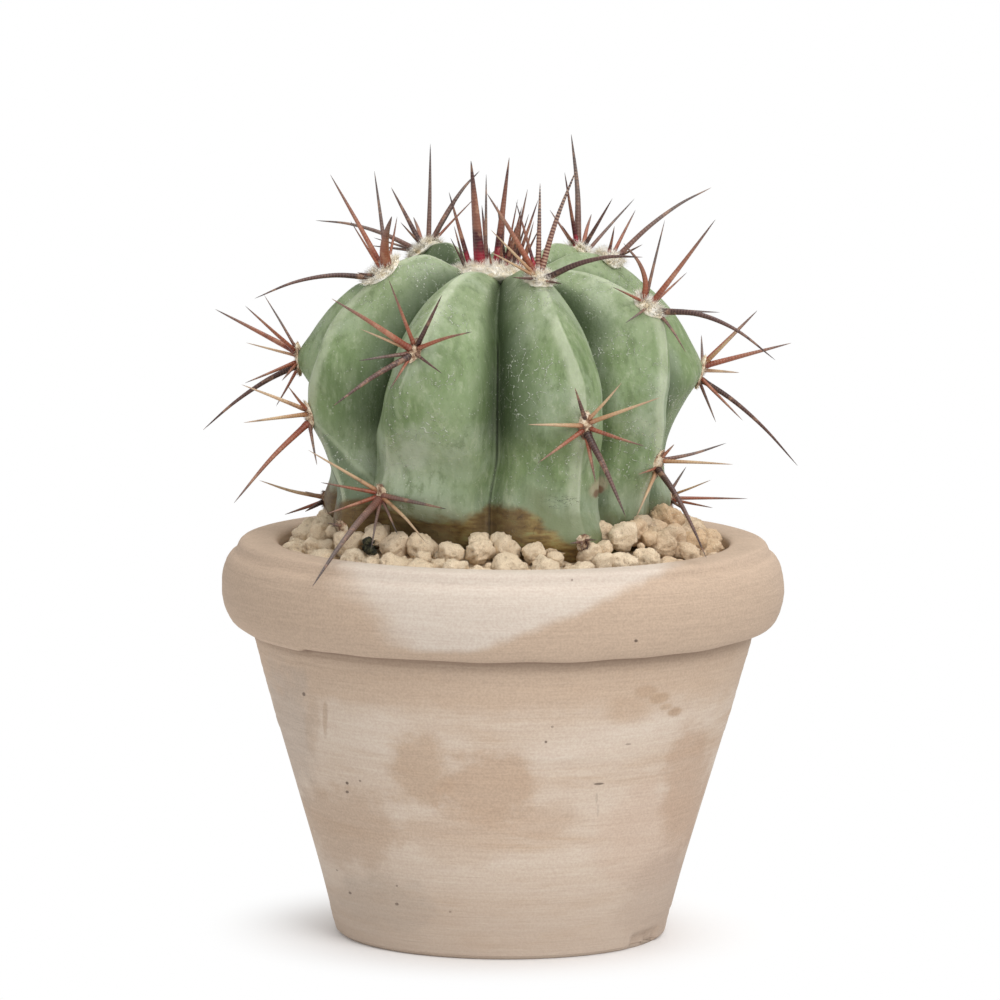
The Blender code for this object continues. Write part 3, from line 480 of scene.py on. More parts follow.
def flank_look(segment, share, z):
    """Painted shade and painted crest highlight, each 0 to 1, on a segment's flanks from crest to
    crest.
    """
    depth = 1 - abs(share - 0.5) * 2
    half = 1 if share > 0.5 else 0
    strength, start = FLANK_SHADES.get(segment, OTHER_SHADES)[half]
    if segment == 1 and half:
        strength += 0.45 * blend(168, 178, z)
        start -= 0.28 * blend(168, 178, z)
    if segment in (0, 8):
        strength *= 1 - 0.85 * blend(152, 138, z)
    width = HIGHLIGHT_WIDTHS.get(segment, OTHER_HIGHLIGHTS)[half]
    ridge = blend(width, width * 0.1, depth)
    if segment in (0, 8) and (half == 0) == (segment == 0):
        ridge *= max(blend(168, 177, z), 0.5 * blend(150, 140, z))
    return strength * blend(start, 0.97, depth), ridge


def areole_frame(rib, height):
    """Place, outward normal and up-the-rib tangent of an areole."""
    low, high = 0.08, 0.85
    for _ in range(40):
        middle = (low + high) / 2
        if stem_point(rib, middle).z / MM > height:
            low = middle
        else:
            high = middle
    spot = stem_point(rib, middle)
    up = (stem_point(rib, middle - 0.012) - stem_point(rib, middle + 0.012)).normalized()
    out = Vector((spot.x - STEM_X * MM, spot.y, 0)).normalized()
    normal = (out - up * out.dot(up)).normalized()
    return spot, normal, up


def gravel_height(r):
    """Top of the gravel bed at a radius: highest against the stem."""
    share = blend(62.0, 47.0, r)
    return GRAVEL_EDGE_Z + (GRAVEL_MOUND_Z - GRAVEL_EDGE_Z) * share


def ground_height(r):
    """Height that a spine keeps above, over the grains and the pot's rim."""
    if r < LIP_RADIUS - 2.5:
        return gravel_height(r) + 4.6
    if r < RIM_RADIUS + 0.5:
        return POT_HEIGHT + 1.2 - 2.0 * max(0.0, r - RIM_TOP_RADIUS)
    return 0.0


# ---- Modelling helpers


def deselect():
    """Nothing is selected."""
    bpy.ops.object.select_all(action="DESELECT")


def make_active(thing):
    """Only this object is selected, and it is the active one."""
    deselect()
    thing.select_set(True)
    bpy.context.view_layer.objects.active = thing


def named(name):
    """The object just added, under its own name."""
    thing = bpy.context.object
    thing.name = name
    thing.data.name = name
    return thing


@contextmanager
def editing(thing):
    """Edit mode on one object, with all of it selected."""
    make_active(thing)
    bpy.ops.object.mode_set(mode="EDIT")
    bpy.ops.mesh.select_all(action="SELECT")
    yield
    bpy.ops.object.mode_set(mode="OBJECT")


def smooth(thing):
    """Round shading all over."""
    make_active(thing)
    bpy.ops.object.shade_smooth()


def extrude_ring(lift, grow):
    """In edit mode: extrude the open ring, lift it and scale it about the axis."""
    bpy.ops.mesh.extrude_region_move(TRANSFORM_OT_translate={"value": (0, 0, lift)})
    bpy.ops.transform.resize(value=(grow, grow, 1), center_override=(0, 0, 0))


def ring_tower(name, sides, rings):
    """Solid of rings: a circle extruded and scaled along (radius, height) pairs in mm."""
    deselect()
    r, z = rings[0]
    bpy.ops.mesh.primitive_circle_add(vertices=sides, radius=r * MM, location=(0, 0, 0))
    thing = named(name)
    with editing(thing):
        bpy.ops.transform.translate(value=(0, 0, z * MM))
        for r_next, z_next in rings[1:]:
            extrude_ring((z_next - z) * MM, r_next / r)
            r, z = r_next, z_next
    return thing


def close_tower(thing):
    """Merge the last ring of a tower into its first, and turn the faces outwards."""
    with editing(thing):
        bpy.ops.mesh.remove_doubles(threshold=MERGE_DISTANCE)
        bpy.ops.mesh.normals_make_consistent(inside=False)


def master_parts(thing):
    """Corners and faces of a master shape, which is then removed."""
    corners = np.array([v.co for v in thing.data.vertices])
    faces = [tuple(p.vertices) for p in thing.data.polygons]
    bpy.data.objects.remove(thing, do_unlink=True)
    return corners, faces


def give_attribute(mesh, title, values):
    """Give a mesh a number at each of its points."""
    mesh.attributes.new(title, "FLOAT", "POINT").data.foreach_set("value", values)


def gather(name, shapes, attributes):
    """One piece from many copied shapes, with the given point attributes."""
    corners, faces = [], []
    count = 0
    for points, polygons in shapes:
        corners.append(points)
        faces.extend(tuple(i + count for i in polygon) for polygon in polygons)
        count += len(points)
    mesh = bpy.data.meshes.new(name)
    mesh.from_pydata(np.concatenate(corners).tolist(), [], faces)
    for title, values in attributes.items():
        give_attribute(mesh, title, np.concatenate(values).astype(np.float32))
    mesh.validate()
    thing = bpy.data.objects.new(name, mesh)
    bpy.context.scene.collection.objects.link(thing)
    return thing


def dress(piece, material, slot, *replaced):
    """Give a finished piece its material and body, and hide the parts it stands for; slot is
    unused.
    """
    piece.data.materials.clear()
    piece.data.materials.append(material)
    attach(piece, "root")
    if replaced:
        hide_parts(*replaced)
    return piece


# ---- Materials


# Kinds of node by a plain word: Blender's type, its settings, the inputs that values go to in
# turn, and the output that is used, or None for all of them
KINDS = {
    "times": ("Math", {"operation": "MULTIPLY"}, (0, 1), 0),
    "plus": ("Math", {"operation": "ADD"}, (0, 1), 0),
    "minus": ("Math", {"operation": "SUBTRACT"}, (0, 1), 0),
    "most": ("Math", {"operation": "MAXIMUM"}, (0, 1), 0),
    "past": ("Math", {"operation": "GREATER_THAN"}, (0, 1), 0),
    "near": ("Math", {"operation": "COMPARE"}, (0, 1, 2), 0),
    "to and fro": ("Math", {"operation": "PINGPONG"}, (0, 1), 0),
    "mask": ("MapRange", {"interpolation_type": "SMOOTHSTEP"}, (0, 1, 2), "Result"),
    "span": ("MapRange", {}, (0, 1, 2, 3, 4), "Result"),
    "mix": ("Mix", {"data_type": "RGBA"}, (0, 6, 7), 2),
    "overlay": ("Mix", {"data_type": "RGBA", "blend_type": "OVERLAY"}, (0, 6, 7), 2),
    "ramp": ("ValToRGB", {}, (0,), "Color"),
    "place": ("TexCoord", {}, (), "Object"),
    "axes": ("SeparateXYZ", {}, (0,), None),
    "stretch": ("Mapping", {}, (0,), 0),
    "noise": ("TexNoise", {}, (0,), "Fac"),
    "stray": ("TexNoise", {}, (0,), "Color"),
    "cells": ("TexVoronoi", {}, (0,), "Distance"),
    "cell edges": ("TexVoronoi", {"feature": "DISTANCE_TO_EDGE"}, (0,), "Distance"),
    "shift": ("VectorMath", {"operation": "ADD"}, (0, 1), 0),
    "offset": ("VectorMath", {"operation": "SUBTRACT"}, (0, 1), 0),
    "shrink": ("VectorMath", {"operation": "SCALE"}, (0, "Scale"), 0),
    "length": ("VectorMath", {"operation": "LENGTH"}, (0,), "Value"),
    "attribute": ("Attribute", {}, (), "Fac"),
    "hollows": ("NewGeometry", {}, (), "Pointiness"),
    "bump": ("Bump", {}, ("Height", "Distance", "Strength"), "Normal"),
    "glow": ("Emission", {}, ("Color", "Strength"), 0),
    "either": ("MixShader", {}, (0, 1, 2), 0),
    "seen": ("LightPath", {}, (), "Is Camera Ray"),
}


def linear(hex_colour):
    """sRGB hex to a linear colour with alpha."""
    values = [int(hex_colour[i:i + 2], 16) / 255 for i in (1, 3, 5)]
    turned = [v / 12.92 if v <= 0.04045 else ((v + 0.055) / 1.055) ** 2.4 for v in values]
    return (*turned, 1.0)


def fill(tree, node, inputs):
    """Link each socket, or set each value, at its input of a node."""
    for slot, value in inputs:
        if isinstance(value, bpy.types.NodeSocket):
            tree.links.new(value, node.inputs[slot])
        else:
            node.inputs[slot].default_value = linear(value) if isinstance(value, str) else value


def add(tree, kind, *values, **more):
    """Add a node: values in turn, settings in lower case, other inputs by name, then stops."""
    title, settings, slots, out = KINDS[kind]
    node = tree.nodes.new("ShaderNode" + title)
    for key, value in [*settings.items(), *more.items()]:
        if key[0].islower():
            setattr(node, key, value)
    fill(tree, node, zip(slots, values))
    fill(tree, node, [(key, value) for key, value in more.items() if key[0].isupper()])
    stops = values[len(slots):]
    while stops and len(node.color_ramp.elements) < len(stops):
        node.color_ramp.elements.new(0.5)
    for element, (place, colour) in zip(node.color_ramp.elements if stops else (), stops):
        element.position = place
        element.color = linear(colour)
    return node.outputs if out is None else node.outputs[out]


def start_material(name):
    """New material, the function that adds a node to it, and the object coordinates."""
    material = bpy.data.materials.new(name)
    material.use_nodes = True
    put = partial(add, material.node_tree)
    return material, put, put("place")


def finish_material(material, finish):
    """Link or set the inputs of the material's shader."""
    tree = material.node_tree
    fill(tree, tree.nodes["Principled BSDF"], finish.items())
    return material


def pattern(put, place, scale, detail=3.0, stretch=(1, 1, 1), rough=0.5, warp=0.0):
    """Noise of a size given in repeats per metre, stretched along the axes."""
    return put("noise", put("stretch", place, Scale=stretch), Scale=scale, Detail=detail,
               Roughness=rough, Distortion=warp)


def summed(put, *parts):
    """Sum of values, each alone or as (value, weight)."""
    total = None
    for part in parts:
        value = put("times", *part) if isinstance(part, tuple) else part
        total = value if total is None else put("plus", total, value)
    return total


def zone(put, *spans):
    """Part of a surface: 1 where each value is past its span and 0 before it, smooth between."""
    inside = None
    for value, low, high in spans:
        share = put("mask", value, low, high)
        inside = share if inside is None else put("times", inside, share)
    return inside


def coat(put, colour, *layers):
    """Lay coats over a colour: each has its strength, the value or list of spans that says
    where it lies, its colour, and perhaps its way to mix."""
    for strength, where, tint, *way in layers:
        cover = zone(put, *where) if isinstance(where, list) else where
        colour = put(way[0] if way else "mix", put("times", cover, strength), colour, tint)
    return colour


def patch(put, place, edge, x, z, wide, high, ragged=0.8, soft=0.7):
    """Ragged blot on the front about (x, z) in mm, 1 inside and 0 outside."""
    moved = put("stretch", place, Location=(-x / wide, 0, -z / high),
                Scale=(1 / (wide * MM), 0, 1 / (high * MM)))
    wavy = summed(put, put("length", moved), (edge, ragged * 2))
    return put("mask", wavy, 1.0 + ragged + soft / 2, 1.0 + ragged - soft / 2)


def clay_material():
    """Unglazed terracotta, thrown and sponged: dry, matt, blotched, streaked along the turning.

    The wipes are some 40 mm long, the turning streaks 0.8 mm wide and the grit 0.7 mm across.
    """
    material, put, place = start_material("thrown_terracotta")
    across, depth, height = put("axes", place)
    front = zone(put, (depth, 0.0, -0.012))
    streaks = pattern(put, place, 60, 5, (0.4, 0.4, 20), 0.6)
    wipes = pattern(put, place, 24, 5, (0.5, 0.5, 3.2), 0.62, 0.5)
    fine = pattern(put, place, 420, 4, (0.3, 0.3, 4), 0.6)
    grit = pattern(put, place, 1500, 2)
    edge = pattern(put, place, 95, 5, (1, 1, 1.5), 0.65)
    wavy_height = summed(put, height, (edge, 0.012), -0.006)
    colour = coat(
        put, put("ramp", wipes, (0.30, CLAY_TAN), (0.48, CLAY), (0.70, CLAY_PALE)),
        (0.30, [(streaks, 0.45, 0.75)], CLAY_PALE),
        (0.75, [(wavy_height, 0.068, 0.077)], CLAY_TAN))
    for x, z, wide, high, share, shade in CLAY_BLOTS:
        blot = put("times", patch(put, place, edge, x, z, wide, high), front)
        colour = coat(put, colour, (share, blot, shade))
    above_middle = put("plus", height, -RIM_MIDDLE * MM)
    right_edge = summed(put, across, (above_middle, -2.6), (edge, 0.012), -0.006)
    left_edge = summed(put, across, (above_middle, 0.9), (edge, 0.012), -0.006)
    above = summed(put, height, (edge, 0.003))
    pale = zone(put, (right_edge, 0.0195, 0.0105), (left_edge, -0.042, -0.026),
                (above, 0.0915, 0.0940), (depth, 0.0, -0.012))
    marks = 0.0
    for x, z, wide, high, share in CLAY_MARKS:
        dot = patch(put, place, edge, x, z, wide, high, 0.5, 0.5)
        marks = put("most", marks, put("times", dot, share))
    marks = put("times", marks, front)
    colour = coat(
        put, colour,
        (0.80, [(height, 0.0875, 0.0885)], RIM_TAN), (0.85, pale, RIM_PALE),
        (0.20, 1.0, put("ramp", fine, (0.3, "#A6A6A6"), (0.7, "#D0D0D0")), "overlay"),
        (0.12, 1.0, put("ramp", streaks, (0.35, "#A8A8A8"), (0.65, "#CECECE")), "overlay"),
        (0.25, 1.0, put("ramp", grit, (0.35, "#A2A2A2"), (0.65, "#D2D2D2")), "overlay"),
        (0.55, [(height, 0.036, 0.004)], "#AF9D8D"),
        # painted shade under the rolled rim, from the under attribute
        (0.75, put("attribute", attribute_name="under"), "#6F5645"),
        (0.30, [(grit, 0.70, 0.78)], "#7E6654"), (1.0, marks, "#4E3F33"))
    relief = summed(put, (streaks, 0.8), (fine, 0.45), (grit, 0.25), (marks, -1.2))
    return finish_material(material, {"Base Color": colour, "Roughness": 0.92,
                                      "Normal": put("bump", relief, 0.0003, 0.7)})


def soil_material():
    """Potting soil: dark, damp peat and bark, in lumps of 3 mm."""
    material, put, place = start_material("peat_soil")
    lumps = pattern(put, place, 320, 6, rough=0.7)
    colour = put("ramp", lumps, (0.3, "#1E1611"), (0.55, "#3A2B20"), (0.75, "#5C4532"))
    return finish_material(material, {"Base Color": colour, "Roughness": 0.95,
                                      "Normal": put("bump", lumps, 0.002)})


def pumice_material():
    """Pumice grains: pale beige, dull, full of fine pores, with painted shade in pores and hollows.

    The lumps are 4 mm across, the pores and their painted shade 0.5 mm, and the sand in them 0.25
    mm.
    """
    material, put, place = start_material("pumice")
    across, depth, _ = put("axes", place)
    lumps = pattern(put, place, 260, 5, rough=0.65)
    fine = pattern(put, place, 1800, 3, rough=0.7)
    sand = pattern(put, place, 4200, 2, rough=0.6)
    pores = put("cells", place, Scale=2100)
    # Painted light: grains at the left and front are made paler where the stem and rim shade them
    painted_light_left = put("times", zone(put, (across, -0.024, -0.040)), 0.9)
    front = put("times", zone(put, (depth, -0.034, -0.046)), 0.7)
    # deep marks the pores, which get painted shade and are sunk by the bump
    deep = zone(put, (pores, 0.30, 0.12), (lumps, 0.44, 0.64))
    colour = coat(
        put, put("ramp", put("attribute", attribute_name="own"),
                 (0.0, "#DEBC95"), (0.35, "#E6CAA8"), (0.7, "#F0DABE"), (1.0, "#E2C29E")),
        (0.45, [(lumps, 0.54, 0.34)], "#CBAC8A"),
        # painted light on the grains at the left and front
        (1.0, put("most", painted_light_left, front), "#FFECCE"),
        (0.42, [(sand, 0.52, 0.40)], "#C6A37C"),
        # pale flecks, then painted shade in the pores; below, painted shade in hollows found by
        # pointiness
        (0.7, [(fine, 0.50, 0.70)], "#F6E4C6"), (0.6, deep, "#8A6A4A"),
        (0.35, [(put("hollows"), 0.50, 0.46)], "#8E6E50"))
    relief = summed(put, (deep, -0.7), (fine, 0.8), (sand, 0.5), lumps)
    return finish_material(material, {"Base Color": colour, "Roughness": 0.96,
                                      "Normal": put("bump", relief, 0.0007)})


def skin_material():
    """Cactus skin: waxy sage green under a pale bloom, corky brown where it is oldest.

    The bloom and clouds drift over 14 to 22 mm, the mottling over 5 mm, and the growth streaks
    are 2 mm wide.
    """
    material, put, place = start_material("waxy_cactus_skin")
    furrow, shade, ridge = [put("attribute", attribute_name=name)
                            for name in ("furrow", "shade", "ridge")]
    across, depth, height = put("axes", place)
    clouds = pattern(put, place, 70, 5, (1, 1, 0.6), 0.6)
    streaks = pattern(put, place, 520, 3, (1, 1, 0.16), 0.6)
    fine = pattern(put, place, 1700, 3)
    bloom = pattern(put, place, 46, 4, (1, 1, 0.9), 0.6)
    mottle = pattern(put, place, 210, 5, (1, 1, 0.55), 0.7)
    edge = pattern(put, place, 160, 4)
    low = summed(put, height, (bloom, 0.02))
    wander = summed(put, shade, (clouds, 0.3), -0.15)
    fold = summed(put, height, (across, 0.986), (clouds, 0.004), -0.002)
    chin = ((across, -0.0325, -0.0355), (depth, 0.0, -0.01))
    wavy_highlight = summed(put, ridge, (mottle, 0.5), -0.25)
    colour = coat(
        put, put("ramp", clouds, (0.28, "#5C7044"), (0.48, "#74875A"), (0.62, "#879870"),
                 (0.78, "#9AA884")),
        (0.70, [(streaks, 0.42, 0.70)], "#8D9B76"),
        (0.55, [(bloom, 0.48, 0.66)], "#A3AE96"),
        # paler top of the stem: painted light from above, with some real bloom
        (0.30, [(height, 0.168, 0.184)], "#A5B08E"),
        (0.42, [(low, 0.146, 0.136)], "#9CA595"),
        (0.35, [(height, 0.152, 0.138), (across, -0.006, -0.016)], "#ACB5A0"),
        (0.60, [(mottle, 0.50, 0.34)], "#5F6F48"),
        (0.55, [(mottle, 0.54, 0.70)], "#B0B89B"),
        # painted shade towards the furrows, from the shade attribute
        (0.88, [(wander, 0.05, 0.95)], "#3F4E32"),
        # painted shade below a fold at the foot of the left rib, and a painted highlight along its
        # edge
        (0.62, [(fold, 0.0962, 0.0930), *chin], "#46563A"),
        (0.35, [(fold, 0.0968, 0.0958), (fold, 0.0944, 0.0954), *chin], "#B4BEA0"),
        # painted shade in the hollow behind the left rib near the crown
        (0.75, [(across, -0.011, -0.016), (depth, 0.004, 0.010), (height, 0.180, 0.184)],
         "#3B4C30"),
        # painted highlight along the lit side of the crests
        (0.50, [(wavy_highlight, 0.15, 0.85), (clouds, 0.24, 0.50)], "#C2C9AD"))
    front = zone(put, (depth, -0.02, -0.03))
    for x, z, wide, high, share, tint in SKIN_BLOTS:
        blot = put("times", patch(put, place, edge, x, z, wide, high, 0.9, 1.0), front)
        colour = coat(put, colour, (share, blot, tint))
    scurf = skin_scurf(put, place, fine)
    # crease: painted shade along the bottom of each furrow, weaker low on the stem
    crease = zone(put, (furrow, 0.974, 1.0), (height, 0.176, 0.168))
    crease = put("times", crease, summed(put, (zone(put, (height, 0.132, 0.146)), 0.30), 0.42))
    colour = coat(
        put, colour,
        # painted highlight on the very crests
        (0.35, [(furrow, 0.030, 0.0), (clouds, 0.40, 0.60)], "#CBD1B8"),
        # the last coat is the painted shade along the furrows
        (0.75, scurf, "#D3D8C6"), *skin_cork(put, place, across, height), (1.0, crease, "#1C2216"))
    scar = patch(put, place, edge, 26.4, 130.6, 1.6, 1.1)
    cracks = pattern(put, place, 300, 3, (1, 1, 4.5), 0.6, 0.8)
    scratched = put("times", put("near", cracks, 0.52, 0.012),
                    patch(put, place, edge, 15.4, 129.6, 5.0, 2.0))
    colour = coat(put, colour, (0.85, put("times", scar, front), "#6B4A33"),
                  (0.80, put("times", scratched, front), "#2A2C20"))
    relief = summed(put, (streaks, 0.8), (fine, 0.4), (scurf, 0.6), (crease, -2.0))
    return finish_material(material, {
        "Base Color": colour, "Roughness": put("span", clouds, 0.3, 0.7, 0.50, 0.66),
        "Specular IOR Level": 0.35, "Subsurface Weight": 0.05, "Subsurface Scale": 0.0015,
        "Subsurface Radius": (0.6, 1.0, 0.3), "Normal": put("bump", relief, 0.0003)})


def skin_scurf(put, place, fine):
    """Pale scurf on the skin: broken hairlines about 4 mm long and specks about 1 mm apart."""
    where = pattern(put, place, 60, 3)
    wander = put("offset", put("stray", place, Scale=240, Detail=2), (0.5, 0.5, 0.5))
    moved = put("shift", place, put("shrink", wander, 0.004))
    hairline = zone(put, (put("cell edges", moved, Scale=230), 0.034, 0.010), (fine, 0.48, 0.58),
                    (where, 0.48, 0.60))
    speck = zone(put, (put("cells", place, Scale=760), 0.24, 0.12), (fine, 0.46, 0.56))
    thin = summed(put, (zone(put, (where, 0.40, 0.58)), 0.75), 0.25)
    return put("most", hairline, put("times", speck, thin))


def skin_cork(put, place, across, height):
    """Coats of old brown cork at the foot of the stem, with a ragged top edge and painted shade."""
    top = summed(put, put("span", across, 0.0045, 0.0155, 0.1274, 0.1216),
                 put("span", across, 0.0155, 0.0260, 0.0, -0.0045))
    dip = zone(put, (across, -0.005, -0.012), (across, -0.032, -0.025))
    ragged = pattern(put, place, 90, 4, (1, 1, 1.8))
    raised = summed(put, height, (ragged, 0.012), -0.006, (dip, 0.0026))
    past = put("minus", raised, top)
    # darker cork between x -6 and 3 mm, and painted shade at the left rib's foot below x -36 mm
    dark = put("most", zone(put, (across, -0.011, -0.006), (across, 0.009, 0.003)),
               zone(put, (across, -0.032, -0.036)))
    pale = zone(put, (across, -0.012, -0.017), (past, -0.002, -0.005), (across, -0.034, -0.030))
    cork = coat(
        put, put("ramp", pattern(put, place, 240, 5, (1, 1, 3.4)), (0.30, "#523A1C"),
                 (0.45, "#75592F"), (0.57, "#8A7344"), (0.72, "#8E8A58")),
        (0.6, dark, "#54391C"), (0.6, pale, "#AF966C"))
    return ((0.82, [(past, 0.0095, 0.0030), (across, 0.004, 0.011)], "#6C7450"),
            # darker brown at the right rib's foot by the gravel: cork and painted shade
            (0.70, [(raised, 0.1245, 0.1195), (across, 0.027, 0.030)], "#4A3F26"),
            (0.92, [(past, 0.0010, -0.0028)], cork))


def spine_material():
    """Cactus spines: hard horn, ringed each 0.9 mm by its growth, semi-gloss, paler or darker."""
    material, put, place = start_material("ringed_horn")
    along, tone, reach = [put("attribute", attribute_name=name)
                          for name in ("along", "tone", "reach")]
    way = summed(put, along, (pattern(put, place, 140, 3), 0.35), -0.175)
    colour = put("ramp", way, *SPINE_TONES[0])
    for level, stops in enumerate(SPINE_TONES[1:]):
        colour = put("mix", put("past", tone, level + 0.5), colour, put("ramp", way, *stops))
    bands = pattern(put, place, 230, 4, rough=0.65)
    rings = put("to and fro", reach, 0.45)
    ringed = put("times", zone(put, (rings, 0.20, 0.34)), pattern(put, place, 300, 2))
    beaded = put("past", tone, BEADED - 0.5)
    share = summed(put, (beaded, 0.7), 0.14)
    colour = coat(
        put, colour, (0.42, [(bands, 0.52, 0.64)], "#B98E72"),
        (0.40, [(bands, 0.44, 0.34)], "#4A2C26"),
        (1.2, put("times", ringed, share), "#C4A68E"),
        (0.7, put("times", zone(put, (rings, 0.14, 0.04)), beaded), "#3A2420"))
    return finish_material(material, {
        "Base Color": colour, "Roughness": 0.42, "Specular IOR Level": 0.45,
        "Normal": put("bump", put("plus", rings, bands), 0.00012)})


def wool_material():
    """Areole wool: short plant hair in tufts of 2 mm, cream when young, stained when old."""
    material, put, place = start_material("areole_wool")
    clumps = pattern(put, place, 420, 4, rough=0.6)
    fresh = put("ramp", clumps, (0.28, "#E4CFA6"), (0.42, "#F4E9D2"), (0.62, "#FCF8F0"))
    worn = put("ramp", clumps, (0.36, "#452C24"), (0.46, "#9A765C"), (0.55, "#DCC6A8"),
               (0.70, "#F2E8D6"))
    colour = put("mix", put("attribute", attribute_name="young"), worn, fresh)
    return finish_material(material, {
        "Base Color": colour, "Roughness": 0.95, "Sheen Weight": 0.2, "Sheen Roughness": 0.5,
        "Normal": put("bump", clumps, 0.0008)})


def moss_material():
    """Dead moss: a dark crumb of fibres."""
    material, put, place = start_material("dried_moss")
    clumps = pattern(put, place, 700, 4, rough=0.7)
    colour = put("ramp", clumps, (0.32, "#14120C"), (0.5, "#2C2C1E"), (0.66, "#6A684C"))
    return finish_material(material, {"Base Color": colour, "Roughness": 0.95,
                                      "Normal": put("bump", clumps, 0.0012)})


# ---- Pot


def pot_rings():
    """Rings of the pot: outside from foot to lip in fine steps, then inside to the drain."""
    rings = [(DRAIN_RADIUS, 1.0), (DRAIN_RADIUS + 1.0, 0.0), (30.0, 0.0), (FOOT_RADIUS - 2.6, 0.0)]
    last = len(POT_OUTSIDE) - 1
    for i in range(last):
        reach = (Vector(POT_OUTSIDE[i + 1]) - Vector(POT_OUTSIDE[i])).length
        steps = max(1, round(reach / RING_STEP))
        for k in range(steps):
            rings.append(tuple(curve_at(POT_OUTSIDE, (i + k / steps) / last, False)))
    rings.append(POT_OUTSIDE[-1])
    rings.extend(POT_INSIDE)
    rings.append((DRAIN_RADIUS, FLOOR_TOP - 0.6))
    rings.append((DRAIN_RADIUS, 1.0))
    return rings


def clay_relief(x, y, z):
    """How far the thrown wall strays from true, in mm, at a point in mm."""
    off = WALL_SWAY * noise.noise(Vector((x, y, z * 1.4)) / WALL_SWAY_SIZE)
    azimuth = math.atan2(x, -y)
    for height, reach, rise in WALL_RIPPLES:
        turn = Vector((math.sin(azimuth) * reach, math.cos(azimuth) * reach, z * rise))
        off += height * noise.noise(turn)
    return off


def lip_wave(azimuth):
    """Rise and fall of the rolled rim's lower edge, in mm."""
    wave = 0.25 * math.sin(math.radians(azimuth * 2 - 40))
    wave += 0.40 * noise.noise(Vector((azimuth * 0.09, 0.3, 0.0)))
    step = 0.8 * blend(-78, -62, azimuth) * blend(-47.2, -49.2, azimuth)
    return wave - step


def painted_lip_shade(r, z):
    """Painted shade in the corner under the rolled rim, 0 to 1."""
    dirt = 0.45 * blend(83.5, 87.4, z) + 0.55 * blend(87.3, LIP_EDGE, z)
    return dirt * blend(75.6, 73.8, r)


def foot_chip(azimuth, z, spot):
    """Depth of the ragged chip out of the foot at the right, in mm."""
    chip = CHIP_DEPTH * blend(50, 53, azimuth) * blend(71, 68, azimuth) * blend(5.5, 3.2, z)
    return chip * (1 + 0.5 * noise.noise(spot * 400))


def make_pot(material):
    """Thrown pot with a rolled rim, a tapered wall and one drain hole."""
    pot = ring_tower("clay_pot", POT_SIDES, pot_rings())
    close_tower(pot)
    # under holds the painted shade under the rolled rim at each point
    under = [0.0] * len(pot.data.vertices)
    for vert in pot.data.vertices:
        x, y, z = vert.co / MM
        r = math.hypot(x, y)
        if r > 70 and z < 90:
            under[vert.index] = painted_lip_shade(r, z)
        if r < LIP_RADIUS - 0.5 and z > 8 or z < 0.4:
            continue
        azimuth = math.degrees(math.atan2(x, -y))
        off = clay_relief(x, y, z) * blend(0.3, 4.0, z)
        near_lip = bell(z, LIP_EDGE, 2.6) * (1 if r > 70.5 else 0)
        rise = lip_wave(azimuth) * near_lip
        if r > FOOT_RADIUS - 3:
            off -= foot_chip(azimuth, z, vert.co)
        k = min(r + off, RIM_RADIUS - 0.03) / r
        vert.co = Vector((x * k, y * k, min(z + rise, POT_HEIGHT - 0.02))) * MM
    give_attribute(pot.data, "under", under)
    smooth(pot)
    return dress(pot, material, "terracotta", "pot")


# ---- Gravel


def grain_master(level, seed):
    """One pumice grain: an icosphere made lumpy and pitted."""
    deselect()
    bpy.ops.mesh.primitive_ico_sphere_add(subdivisions=level, radius=1.0, location=(0, 0, 0))
    grain = named("grain")
    dice = random.Random(seed)
    stretch = (dice.uniform(0.9, 1.2), dice.uniform(0.85, 1.1), dice.uniform(0.7, 0.92))
    with editing(grain):
        bpy.ops.transform.resize(value=stretch)
    shift = Vector((seed * 3.7, seed * 1.9, seed * 0.7))
    for vert in grain.data.vertices:
        spot = Vector(vert.co)
        big = noise.cell(Vector((spot.x * 1.15, spot.y * 1.15, spot.z * 1.15)) + shift)
        lump = noise.noise(spot * 1.3 + shift)
        ridge = abs(noise.noise(spot * 2.4 + shift))
        pit = noise.noise(spot * 6.0 + shift)
        block = max(abs(spot.x), abs(spot.y), abs(spot.z)) ** -0.28
        vert.co = spot * block * (0.93 + 0.05 * big + 0.24 * lump - 0.24 * ridge + 0.06 * pit)
    return master_parts(grain)


def moved_copy(master, spot, size, dice, tilt=0.6):
    """A turned, scaled copy of a master shape."""
    corners, faces = master
    turn = Matrix.Rotation(dice.uniform(0, math.tau), 3, "Z")
    turn @= Matrix.Rotation(dice.uniform(-tilt, tilt), 3, "X")
    turn @= Matrix.Rotation(dice.uniform(-tilt, tilt), 3, "Y")
    return corners @ np.array(turn).T * size * MM + np.array(spot) * MM, faces


def strew(dice, count, sizes, spacing, taken):
    """Places and radii of grains between the stem and the wall, apart from each other."""
    found = []
    for _ in range(STREW_TRIES):
        if len(found) >= count:
            break
        size = dice.uniform(*sizes)
        r = math.sqrt(dice.uniform(STEM_AT_GRAVEL ** 2, (WALL_AT_GRAVEL - size) ** 2))
        spot = direction(dice.uniform(0, 360)) * r
        if all((spot - old).length > (size + other) * spacing for old, other in taken):
            taken.append((spot, size))
            found.append((spot, size))
    return found


def heap_height(x, y, r):
    """How far the grains are heaped above the bed, in mm: behind, at the sides and in front."""
    front = blend(-28, -42, y)
    return (3.4 * max(blend(18, 42, x), blend(-6, 18, y)) * blend(63, 56, r)
            + 4.5 * bell(x, -36, 8) * bell(y, -29, 9) * blend(61, 51, r)
            + 2.5 * bell(x, -46, 8) * bell(y, -10, 12)
            + 2.6 * bell(x, 36, 9) * blend(-14, -26, y) * blend(62, 54, r)
            + front * 0.9 * blend(66, 58, r) + front * 1.9 * bell(x, 2, 10) * blend(63, 54, r))


